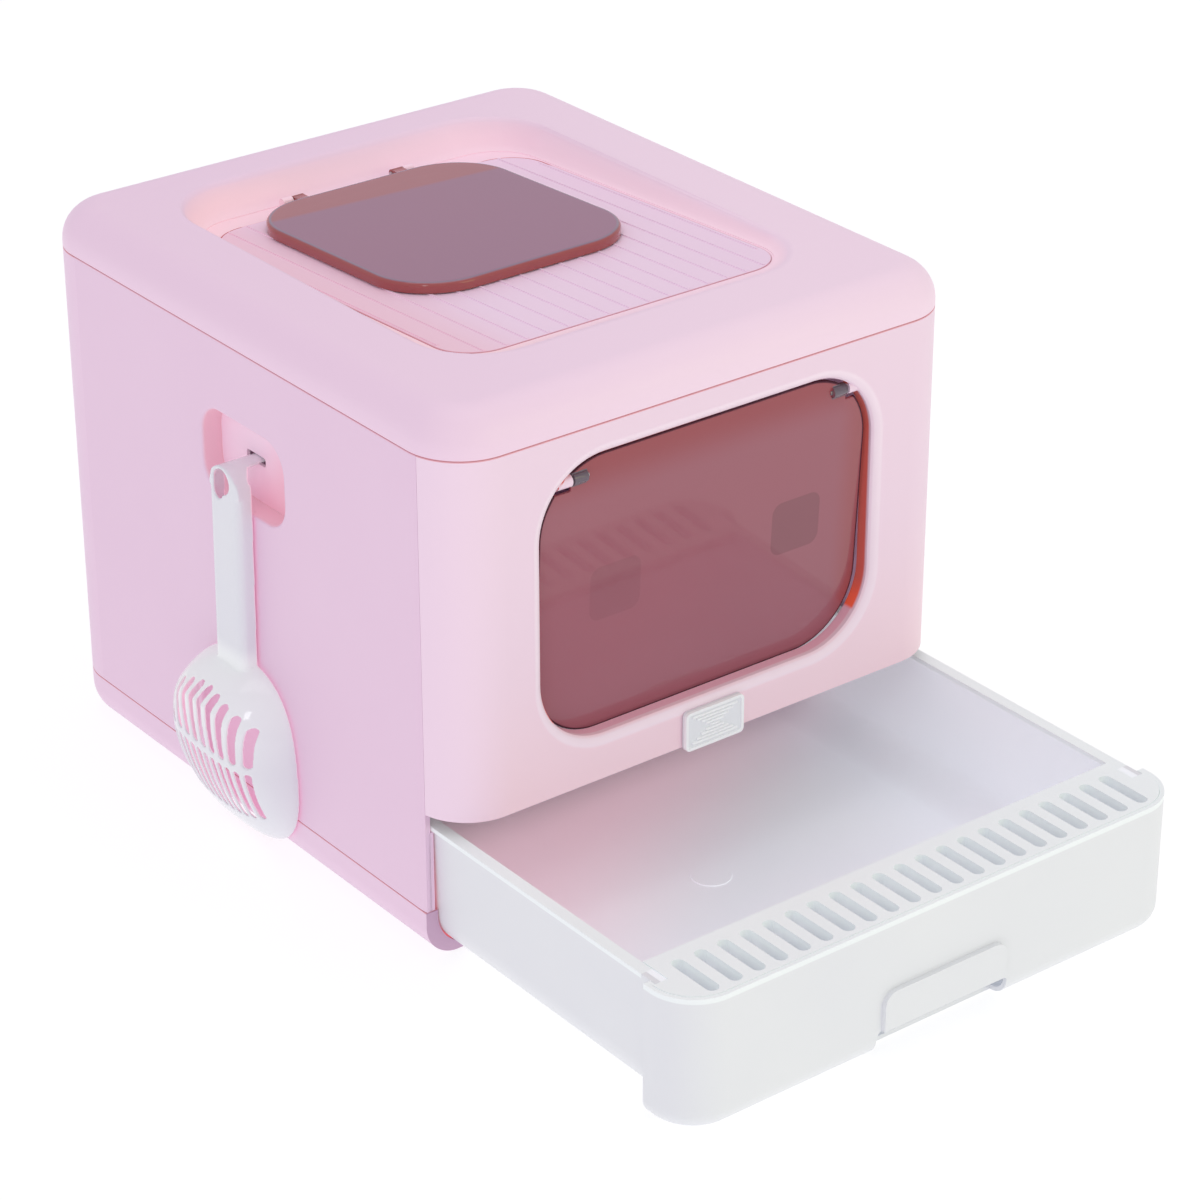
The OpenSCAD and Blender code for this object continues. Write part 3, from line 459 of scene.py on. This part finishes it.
latch = {
    "outline": (0.0222, 0.0122, 0.002), "middleZ": 0.119, "floorBand": (-0.0003, 0.0002),
    # painted shade: the floor between the ribs is a little greyer
    "floorY": (-0.23770, 0.0001), "floor": rgb(222, 224, 231),
    # painted light: the latch's front face glows
    "faceY": (-0.2365, 0.0004), "glow": (0.11, 0.11, 0.10, 1),
}


def latchPlate(f, color, x, y, z):       # painted shade on the floor between the latch's border and ribs, painted light on its face
    out = fromOutline(x, z - latch["middleZ"], *latch["outline"])
    floor = (1 - out.above(*latch["floorBand"])) * y.above(*latch["floorY"])
    f.glow(f.mix(y.above(*latch["faceY"]), latch["glow"], black))
    return f.mix(floor, color, latch["floor"])


gloss = {
    "white": rgb(237, 237, 242), "cool": rgb(232, 232, 240), "cloudScale": 14.0, "cloudBand": (0.5, 0.4),
    "rough": 0.06, "roughSpread": 0.03, "roughScale": 90.0,
    # painted light: the upper part of the scoop glows a little
    "brow": ((0.100, 0.030), (0.145, 0.008)), "browGlow": (0.12, 0.13, 0.10, 1),
    "innerGlow": (0.36, 0.17, 0.20, 1),  # pink thrown back by the panel behind the blade
}


def whiteGloss():
    f = Finish("whiteGloss")
    cloud = f.noise(gloss["cloudScale"]).above(*gloss["cloudBand"])
    f.set("Base Color", f.mix(cloud, gloss["white"], gloss["cool"]))
    f.set("Roughness", f.noise(gloss["roughScale"]) * gloss["roughSpread"] + gloss["rough"])
    z = f.axes()[2]
    inner = f.node("ShaderNodeAttribute", {"attribute_name": "inner"}, out="Fac")
    f.glow(f.mix(inner, f.mix(z.between(*gloss["brow"]), black, gloss["browGlow"]), gloss["innerGlow"]))
    return f.material


smoked = {
    "alpha": 0.9, "coat": 0.9, "coatRough": 0.02, "specular": 0.1, "rimRough": 0.4,
    "cloudScale": 5.0, "rough": 0.06, "roughSpread": 0.05, "roughScale": 30.0,
}


def smokedPlastic(name, plain, paint):   # paint gives the colour and the mask of a dull rim
    f = Finish(name, Alpha=smoked["alpha"], Coat_Roughness=smoked["coatRough"],
               Specular_IOR_Level=smoked["specular"])
    color, rim = paint(f, f.mix(f.noise(smoked["cloudScale"]), *plain), *f.axes())
    f.set("Base Color", color)
    f.set("Roughness", f.noise(smoked["roughScale"]) * smoked["roughSpread"] + smoked["rough"]
          + rim * smoked["rimRough"])
    f.set("Coat Weight", rim * -smoked["coat"] + smoked["coat"])
    return f.material


door = {                                 # shape in mm
    "halfWidth": 131.2, "top": 332.5, "bottom": 136, "thick": 2.6, "corner": 50, "cornerSteps": 22,
    "round": 0.7, "roundSteps": 3, "hinge": (3, -226.5, 320), "tilt": 3,
    "barrel": (98.5, 109.5), "barrelRadius": 4.2, "barrelRound": 0.5,
    "earInner": 110.4, "notch": (-7.6, 30), "notchEnd": 140, "notchHalf": 8,
    "padX": (-70, 77), "padZ": 233, "padHalf": (20, 19), "padCorner": 8, "padSteps": 6,
    "padRise": 0.6, "padSunk": 0.4,
}
doorPaint = {
    "plain": (rgb(171, 97, 111), rgb(163, 98, 112)),
    "top": rgb(162, 72, 80), "topZ": (0.312, 0.016),     # painted light: redder under the upper edge
    # painted light: redder towards the right edge
    "right": rgb(168, 84, 88), "rightX": (0.117, 0.010), "rightShare": 0.7,
    "pad": rgb(142, 84, 96), "padShares": (0.35, 0.8), "padBand": (0, 0.0006),
    "outline": (0.1312, 0.0982, 0.050), "middleZ": 0.2343,
    # painted shade: a dark line round the door's edge
    "rim": rgb(80, 40, 56), "rimBand": (-0.0014, 0.0005),
    "barrel": rgb(112, 98, 110), "barrelX": (0.0985, 0.0003),
    "barrelZ": ((0.3152, 0.0003), (0.3248, 0.0003)),
}


def doorBands(f, color, x, y, z):        # painted light under the upper and right edge, pads, painted shade on the dull rim, and hinge barrels
    color = f.mix(z.above(*doorPaint["topZ"]), color, doorPaint["top"])
    color = f.mix(x.above(*doorPaint["rightX"]) * doorPaint["rightShare"], color, doorPaint["right"])
    padOutline = [size * mm for size in (*door["padHalf"], door["padCorner"])]
    for middle, share in zip(door["padX"], doorPaint["padShares"]):
        out = fromOutline(x - middle * mm, z - door["padZ"] * mm, *padOutline)
        color = f.mix((1 - out.above(*doorPaint["padBand"])) * share, color, doorPaint["pad"])
    rim = fromOutline(x, z - doorPaint["middleZ"], *doorPaint["outline"]).above(*doorPaint["rimBand"])
    aside = (x - door["hinge"][0] * mm).size().above(*doorPaint["barrelX"])
    barrel = z.between(*doorPaint["barrelZ"]) * aside
    return f.mix(barrel, f.mix(rim, color, doorPaint["rim"]), doorPaint["barrel"]), rim


flap = {
    "plain": (rgb(165, 103, 135), rgb(160, 107, 138)),
    "outline": (0.0945, 0.103, 0.047), "middle": (-0.004, 0.048),
    "rear": rgb(178, 96, 106), "rearLean": 0.076, "rearY": (0.1152, 0.003),
    "line": rgb(150, 124, 146), "lineBand": (-0.0034, 0.0008),
    "rim": rgb(170, 84, 84), "rimBand": (-0.0017, 0.0006),
}


def flapBands(f, color, x, y, z):        # redder rear end, pale line and rim
    middleX, middleY = flap["middle"]
    out = fromOutline(x - middleX, y - middleY, *flap["outline"])
    color = f.mix((y + x * flap["rearLean"]).above(*flap["rearY"]), color, flap["rear"])
    color = f.mix(out.above(*flap["lineBand"]), color, flap["line"])
    return f.mix(out.above(*flap["rimBand"]), color, flap["rim"]), 0


steel = {
    "color": rgb(190, 188, 192), "rough": 0.25, "roughSpread": 0.2,
    "lines": (200.0, 2.0, 0.5, (1, 40, 40)),             # drawn along x
}


def drawnSteel():
    f = Finish("drawnSteel", Metallic=1.0)
    f.set("Base Color", steel["color"])
    f.set("Roughness", f.noise(*steel["lines"]) * steel["roughSpread"] + steel["rough"])
    return f.material


finishes = {                             # by material slot
    "pink_shell": pinkShell("pinkShell"),
    "white_satin": whiteSatin(),
    "white_gloss": whiteGloss(),
    "smoked_plastic": smokedPlastic("smokedDoor", doorPaint["plain"], doorBands),
    "steel_pin": drawnSteel(),
}
special = {                              # by node, where a piece differs from its slot's finish
    "front_panel": pinkShell("pinkDoorway", doorwayEdge),
    "left_panel": pinkShell("pinkPocket", pocketLightAndShade),
    "lid": pinkShell("pinkLid", recessLightAndShade),
    "lid_plate": pinkShell("pinkPlate", plateLines),
    "base_tray": pinkShell("pinkBase", baseShade),
    "drawer_tray": whiteSatin("whiteTray", trayInside),
    "drawer_fascia": whiteSatin("whiteFront", frontInside),
    "latch_slider": whiteSatin("whiteLatch", latchPlate),
    "drawer_grate": whiteSatin("whiteGrate", grateTop),
    "top_flap": smokedPlastic("smokedFlap", flap["plain"], flapBands),
}
print("finishes made")


slotOf = {row["node"]: row["material_slot"] for row in frame["record"]["subparts"]}
bodyOf = {node: body for body, nodes in frame["record"]["behaviour"]["bodies"].items() for node in nodes}
sharpTurn = 32                           # degrees between two faces, from which their edge stays sharp


def pieceFrom(bm, name, body, slot, finish=None, sharp=sharpTurn):
    mesh = meshFrom(bm, name)
    mesh.shade_smooth()
    mesh.set_sharp_from_angle(angle=math.radians(sharp))
    mesh.materials.append(finish or finishes[slot])
    made = placed(name, mesh)
    weigh = made.modifiers.new("flatFaces", "WEIGHTED_NORMAL")
    weigh.mode = "FACE_AREA"
    weigh.keep_sharp = True
    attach(made, body)
    return made


def only(kind, geom):                    # points or edges out of an operator's result
    return [g for g in geom if isinstance(g, kind)]


def edgesOf(verts):
    return list({e for v in verts for e in v.link_edges})


def acrossY(verts):                      # edges through the thickness of an upright plate
    return [e for e in edgesOf(verts) if abs(e.verts[0].co.y - e.verts[1].co.y) > 0.5 * mm]


def creases(edges, turn=0.5):            # edges where the surface turns by more than this, in radians
    return [e for e in edges if e.is_manifold and e.calc_face_angle(0) > turn]


def shift(bm, verts, x, y, z):           # mm
    bmesh.ops.translate(bm, verts=verts, vec=Vector((x, y, z)) * mm)


def rotate(bm, verts, degrees, axis, about=(0, 0, 0)):       # about a point in mm
    turn = Matrix.Rotation(math.radians(degrees), 3, axis)
    bmesh.ops.rotate(bm, verts=verts, cent=Vector(about) * mm, matrix=turn)


def block(bm, low, high):                # box from corner to corner, mm
    made = bmesh.ops.create_cube(bm, size=1)["verts"]
    low, high = Vector(low), Vector(high)
    bmesh.ops.scale(bm, vec=(high - low) * mm, verts=made)
    bmesh.ops.translate(bm, vec=(high + low) / 2 * mm, verts=made)
    return made


def stadium(bm, segments, width, length, filled=False):      # flat ring with round ends, length along Y, mm
    ring = bmesh.ops.create_circle(bm, cap_ends=filled, segments=segments, radius=width / 2 * mm)["verts"]
    rotate(bm, ring, 180 / segments, "Z")
    for v in ring:
        v.co.y += math.copysign((length - width) / 2, v.co.y) * mm
    return ring


def bevel(bm, edges, width, segments=2):
    return bmesh.ops.bevel(bm, geom=edges, offset=width * mm, offset_type="OFFSET", segments=segments,
                           profile=0.5, affect="EDGES", clamp_overlap=True, material=-1)


def soften(bm, middle, half, width, segments):       # rounds the sharp edges inside a box, mm
    def inside(v):
        return all(abs(c - m * mm) < h * mm for c, m, h in zip(v.co, middle, half))

    bevel(bm, creases([e for e in bm.edges if all(inside(v) for v in e.verts)]), width, segments)


def discard(made):                       # an object and its mesh
    mesh = made.data
    bpy.data.objects.remove(made)
    bpy.data.meshes.remove(mesh)


def applied(bm, name, *steps):           # the mesh after modifiers, each given as (type, settings)
    holder = placed(name, meshFrom(bm, name))
    for kind, settings in steps:
        step = holder.modifiers.new(kind.title(), kind)
        for key, value in settings.items():
            setattr(step, key, value)
    bpy.context.view_layer.update()
    ready = holder.evaluated_get(bpy.context.evaluated_depsgraph_get())
    out = bmesh.new()
    out.from_mesh(ready.to_mesh())
    ready.to_mesh_clear()
    discard(holder)
    return out


def without(bm, name, tool):             # what a Boolean leaves when it takes the tool away
    cutter = placed(name + "Cutter", meshFrom(tool, name + "Cutter"))
    out = applied(bm, name, ("BOOLEAN", {"operation": "DIFFERENCE", "solver": "EXACT", "object": cutter}))
    discard(cutter)
    return out


# changes to a copied mesh, made before its edges are rounded; all sizes in mm

baseEnd = {
    "y": -202.3, "thick": 2.4, "top": 34.9, "turn": 88, "steps": 14,
    "outer": (180.5, 24, 23.9), "inner": (167.6, 31, 28.2),      # x and z of the arc's centre, radius
}


def closeBaseEnds(bm):                   # crescent between the base's edge and the drawer
    for side in (-1, 1):
        for x, z, radius in (baseEnd["outer"], baseEnd["inner"]):
            middle = Vector((side * x, baseEnd["y"], z)) * mm
            start = bm.verts.new(middle + Vector((side * radius * mm, 0, 0)))
            bmesh.ops.spin(bm, geom=[start], cent=middle, axis=(0, side, 0),
                           angle=math.radians(baseEnd["turn"]), steps=baseEnd["steps"])
            top = bm.verts.new((start.co.x, start.co.y, baseEnd["top"] * mm))
            bm.edges.new((start, top))
        faces = bmesh.ops.bridge_loops(bm, edges=[e for e in bm.edges if e.is_wire])["faces"]
        rear = only(BMVert, bmesh.ops.extrude_face_region(bm, geom=faces)["geom"])
        shift(bm, rear, 0, baseEnd["thick"], 0)
        solid = {f for v in rear for f in v.link_faces} | set(faces)
        bmesh.ops.recalc_face_normals(bm, faces=list(solid))


endStrip = {"x": (197.4, 201.0), "y": (-201.6, -199.2), "z": (35.2, 92.4)}


def widenEndStrip(bm, side):             # strip of the side panel beside the drawer
    low, high = zip(sorted(side * x for x in endStrip["x"]), endStrip["y"], endStrip["z"])
    block(bm, low, high)


pocketRim = {"middle": (-204.5, -8.5, 274.5), "half": (0.05, 47.3, 29.8), "width": 2.4, "segments": 5}


def leftSide(bm):
    soften(bm, **pocketRim)
    widenEndStrip(bm, -1)


def rightSide(bm):
    widenEndStrip(bm, 1)


grateGap = ((-184, -432, 85.6), (184, -419, 98))     # free space under the grate's slots


def leanAndCut(bm):                      # the drawer's sides lean in a little towards the floor
    for v in bm.verts:
        v.co.x *= 1 - tray["lean"] * max(0, 1 - v.co.z / tray["leanTop"])
    tool = bmesh.new()
    block(tool, *grateGap)
    return without(bm, "tray", tool)


handle = {"middle": (0, -464.4, 0), "half": (1000, 0.05, 1000), "width": 2.2, "segments": 4}


def softenHandle(bm):
    soften(bm, **handle)


slotRims = {"middle": (0, -434, 97.3), "half": (185, 20.2, 0.05), "width": 2.2, "segments": 4}
slots = {
    "count": 21, "pitch": 17.5, "width": 9, "length": 40, "segments": 20,
    "start": 94.7, "deep": 8.6, "wall": 1.6,
}


def deepenSlots(bm):                     # ribs of the grate: soft upper edges and deep sides
    soften(bm, **slotRims)
    for i in range(slots["count"]):
        ring = stadium(bm, slots["segments"], slots["width"], slots["length"])
        x = (i - (slots["count"] - 1) / 2) * slots["pitch"]
        shift(bm, ring, x, slotRims["middle"][1], slots["start"])
        low = only(BMVert, bmesh.ops.extrude_edge_only(bm, edges=edgesOf(ring))["geom"])
        shift(bm, low, 0, 0, -slots["deep"])
        walls = list({f for v in low for f in v.link_faces})
        bmesh.ops.recalc_face_normals(bm, faces=walls)
        bmesh.ops.solidify(bm, geom=walls, thickness=-slots["wall"] * mm)


latchRibs = {
    "count": 9, "pitch": 2.35, "height": 1.35, "short": 7, "long": 37,
    "middleZ": 119.2, "y": (-238.75, -237.2),
}


def addLatchRibs(bm):                    # the ribs get longer away from the middle one
    middle = (latchRibs["count"] - 1) / 2
    near, far = latchRibs["y"]
    for i in range(latchRibs["count"]):
        x = (latchRibs["short"] + (latchRibs["long"] - latchRibs["short"]) * abs(i - middle) / middle) / 2
        z = latchRibs["middleZ"] + (i - middle) * latchRibs["pitch"]
        block(bm, (-x, near, z - latchRibs["height"] / 2), (x, far, z + latchRibs["height"] / 2))


changes = {
    "base_tray": closeBaseEnds,
    "left_panel": leftSide,
    "right_panel": rightSide,
    "drawer_tray": leanAndCut,
    "drawer_fascia": softenHandle,
    "drawer_grate": deepenSlots,
    "latch_slider": addLatchRibs,
}
rounding = {                             # of each piece's edges
    "base_tray": 0.5, "left_panel": 0.5, "right_panel": 0.5, "front_panel": 0.4, "rear_panel": 0.5,
    "latch_guide": 0.2, "latch_slider": 0.25, "lid": 0.4, "lid_plate": 0.2,
    "top_flap": 0.3, "drawer_tray": 0.5, "drawer_fascia": 0.4, "drawer_grate": 0.2,
}
weld = {"distance": 0.004, "flatTurn": 0.3}      # flatTurn in degrees


def copyOf(node):                        # the CAD node without doubled points and flat edges
    bm = bmesh.new()
    bm.from_mesh(frame["nodes"][node].data)
    bmesh.ops.remove_doubles(bm, verts=bm.verts, dist=weld["distance"] * mm)
    bmesh.ops.dissolve_limit(bm, angle_limit=math.radians(weld["flatTurn"]), verts=bm.verts, edges=bm.edges)
    return bm


def moulded(node):
    bm = copyOf(node)
    if node in changes:
        bm = changes[node](bm) or bm
    if node in rounding:
        bevel(bm, creases(bm.edges, math.radians(sharpTurn)), rounding[node])
    made = pieceFrom(bm, node + "_moulding", bodyOf[node], slotOf[node], special.get(node))
    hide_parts(node)
    return made


def swingDoor():
    hx, hy, hz = door["hinge"]
    half = door["thick"] / 2
    bm = bmesh.new()
    wide = door["halfWidth"]
    sheet = block(bm, (-wide, hy - half, door["bottom"]), (wide, hy + half, door["top"]))
    bevel(bm, acrossY(sheet), door["corner"], door["cornerSteps"])
    notches = bmesh.new()
    low, high = door["notch"]
    for side in (-1, 1):
        near, far = sorted(hx + side * x for x in (door["earInner"], door["notchEnd"]))
        block(notches, (near, hy - door["notchHalf"], hz + low), (far, hy + door["notchHalf"], hz + high))
    bm = without(bm, "doorPlate", notches)
    bevel(bm, creases(bm.edges), door["round"], door["roundSteps"])
    padX, padZ = door["padHalf"]
    for x in door["padX"]:
        pad = block(bm, (x - padX, hy + half - door["padSunk"], door["padZ"] - padZ),
                    (x + padX, hy + half + door["padRise"], door["padZ"] + padZ))
        bevel(bm, acrossY(pad), door["padCorner"], door["padSteps"])
    near, far = door["barrel"]
    radius = door["barrelRadius"] * mm
    for side in (-1, 1):
        barrel = bmesh.ops.create_cone(bm, cap_ends=True, segments=32, radius1=radius, radius2=radius,
                                       depth=(far - near) * mm)["verts"]
        rotate(bm, barrel, 90, "Y")
        shift(bm, barrel, hx + side * (near + far) / 2, hy, hz)
        bevel(bm, creases(edgesOf(barrel)), door["barrelRound"])
    rotate(bm, bm.verts, door["tilt"], "X", door["hinge"])
    made = pieceFrom(bm, "front_door_moulding", "door", "smoked_plastic")
    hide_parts("front_door")
    print("door built", len(made.data.polygons))


scoop = {                                # mm
    "rimX": -206.3, "bladeY": -1, "apexZ": 116, "topZ": 137, "tipZ": 7, "halfWidth": 60.5, "depth": 40,
    "thick": 2.2, "rings": 30, "points": 112, "lastTurn": 88,
    "square": 0.74, "topPower": 1.8, "sidePower": 0.65, "depthPower": 1.4,
    "narrowing": 0.07,                   # of the blade towards its top, as a share of its width
    "slotPoints": 24, "slotStart": 4, "slotReach": 50, "handleCut": 131,
    "hole": ((0.5, 259.5, 4.2), (-3.6, 266.5, 8.6)),         # y, z and radius at both ends of the hole
    "holeX": (-230, -212), "holePoints": 40,
    "voxel": 0.8, "smooth": {"factor": 0.5, "iterations": 6}, "keptFaces": 0.45, "sharp": 60,
    "inner": (1.6, -0.1),                # slope and start of the glow on faces that look to the wall
}
slotRows = (                             # foot and head are a + b * y + c * y * y, y from the middle
    {"count": 10, "pitch": 9.75, "width": 5.7, "foot": (82, 0.05, 0), "head": (125, 0, -0.009)},
    {"count": 12, "pitch": 7.9, "width": 4.7, "foot": (31.5, 0, 0.0034), "head": (77, 0.05, 0)},
)


def squared(v):                          # pulls a circle's sine or cosine towards a square's
    return math.copysign(abs(v) ** scoop["square"], v)


def bladePoint(turn, place, inset):      # turn 0 at the rim to 90 at the deepest point
    c, up = math.cos(turn), squared(math.sin(place))
    apex = scoop["apexZ"]
    top = apex + (scoop["topZ"] - apex - inset) * c ** scoop["topPower"]
    low = apex - (apex - scoop["tipZ"] - inset) * c
    wide = (scoop["halfWidth"] - inset) * c ** scoop["sidePower"] * (1 - scoop["narrowing"] * up)
    x = scoop["rimX"] - (scoop["depth"] - inset) * math.sin(turn) ** scoop["depthPower"]
    y = scoop["bladeY"] + wide * squared(math.cos(place))
    return Vector((x, y, (top + low) / 2 + (top - low) / 2 * up)) * mm


def bladeShell():                        # one chain of rings: outside to the rim, then back inside
    bm = bmesh.new()
    turns = [math.radians(scoop["lastTurn"] * k / scoop["rings"]) for k in range(scoop["rings"] + 1)]
    chain = [(turn, 0) for turn in reversed(turns)] + [(turn, scoop["thick"]) for turn in turns]
    ring = bmesh.ops.create_circle(bm, cap_ends=True, segments=scoop["points"], radius=1)["verts"]
    places = {v: math.atan2(v.co.y, v.co.x) for v in ring}
    loop = edgesOf(ring)
    for v, place in places.items():
        v.co = bladePoint(chain[0][0], place, chain[0][1])
    for turn, inset in chain[1:]:
        fresh = {}
        for v in only(BMVert, bmesh.ops.extrude_edge_only(bm, edges=loop)["geom"]):
            fresh[v] = next(places[e.other_vert(v)] for e in v.link_edges if e.other_vert(v) in places)
            v.co = bladePoint(turn, fresh[v], inset)
        loop = [e for e in edgesOf(fresh) if all(v in fresh for v in e.verts)]
        places = fresh
    bmesh.ops.contextual_create(bm, geom=loop)
    bmesh.ops.recalc_face_normals(bm, faces=bm.faces)
    return bm


def addSlot(bm, y, foot, head, width):   # round-ended prism through the blade
    ring = stadium(bm, scoop["slotPoints"], width, head - foot, filled=True)
    upright = Euler((math.radians(90), 0, math.radians(90))).to_matrix()
    bmesh.ops.rotate(bm, verts=ring, cent=(0, 0, 0), matrix=upright)
    shift(bm, ring, scoop["rimX"] + scoop["slotStart"], y, (foot + head) / 2)
    far = only(BMVert, bmesh.ops.extrude_face_region(bm, geom=list(ring[0].link_faces))["geom"])
    shift(bm, far, -scoop["slotReach"], 0, 0)
    solid = {f for v in (*far, *ring) for f in v.link_faces}
    bmesh.ops.recalc_face_normals(bm, faces=list(solid))


def bladeSlots():
    bm = bmesh.new()
    for row in slotRows:
        for i in range(row["count"]):
            y = (i - (row["count"] - 1) / 2) * row["pitch"]
            foot, head = (a + b * y + c * y * y for a, b, c in (row["foot"], row["head"]))
            addSlot(bm, scoop["bladeY"] + y, foot, head, row["width"])
    return bm


def handleShell():                       # the handle and its hook, with the hanging hole opened up
    bm = copyOf("scoop")
    cut = bmesh.ops.bisect_plane(bm, geom=[*bm.verts, *bm.edges, *bm.faces], clear_outer=True,
                                 plane_co=(0, 0, scoop["handleCut"] * mm), plane_no=(0, 0, -1))
    bmesh.ops.holes_fill(bm, edges=only(BMEdge, cut["geom_cut"]))
    hole = bmesh.new()
    for y, z, radius in scoop["hole"]:
        for x in scoop["holeX"]:
            end = bmesh.ops.create_circle(hole, segments=scoop["holePoints"], radius=radius * mm)["verts"]
            rotate(hole, end, 90, "Y")
            shift(hole, end, x, y, z)
    hull = bmesh.ops.convex_hull(hole, input=hole.verts)
    bmesh.ops.delete(hole, geom=only(BMVert, hull["geom_interior"]))
    return without(bm, "handle", hole)


def makeScoop():
    both = without(bladeShell(), "blade", bladeSlots())
    handleMesh = meshFrom(handleShell(), "handle")
    both.from_mesh(handleMesh)
    bpy.data.meshes.remove(handleMesh)
    whole = applied(both, "scoopShell",
                    ("REMESH", {"mode": "VOXEL", "voxel_size": scoop["voxel"] * mm}),
                    ("SMOOTH", scoop["smooth"]),
                    ("DECIMATE", {"ratio": scoop["keptFaces"]}))
    # how far each point faces the wall, which throws its pink back
    inner = whole.verts.layers.float.new("inner")
    whole.normal_update()
    steep, start = scoop["inner"]
    for v in whole.verts:
        v[inner] = min(1, max(0, v.normal.x * steep + start))
    made = pieceFrom(whole, "scoop_moulding", "scoop", "white_gloss", sharp=scoop["sharp"])
    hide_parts("scoop")
    print("scoop built", len(made.data.polygons))


swingDoor()
makeScoop()
for node in frame["nodes"]:
    if node not in ("front_door", "scoop"):
        made = moulded(node)
        print("moulded", node, len(made.data.polygons))
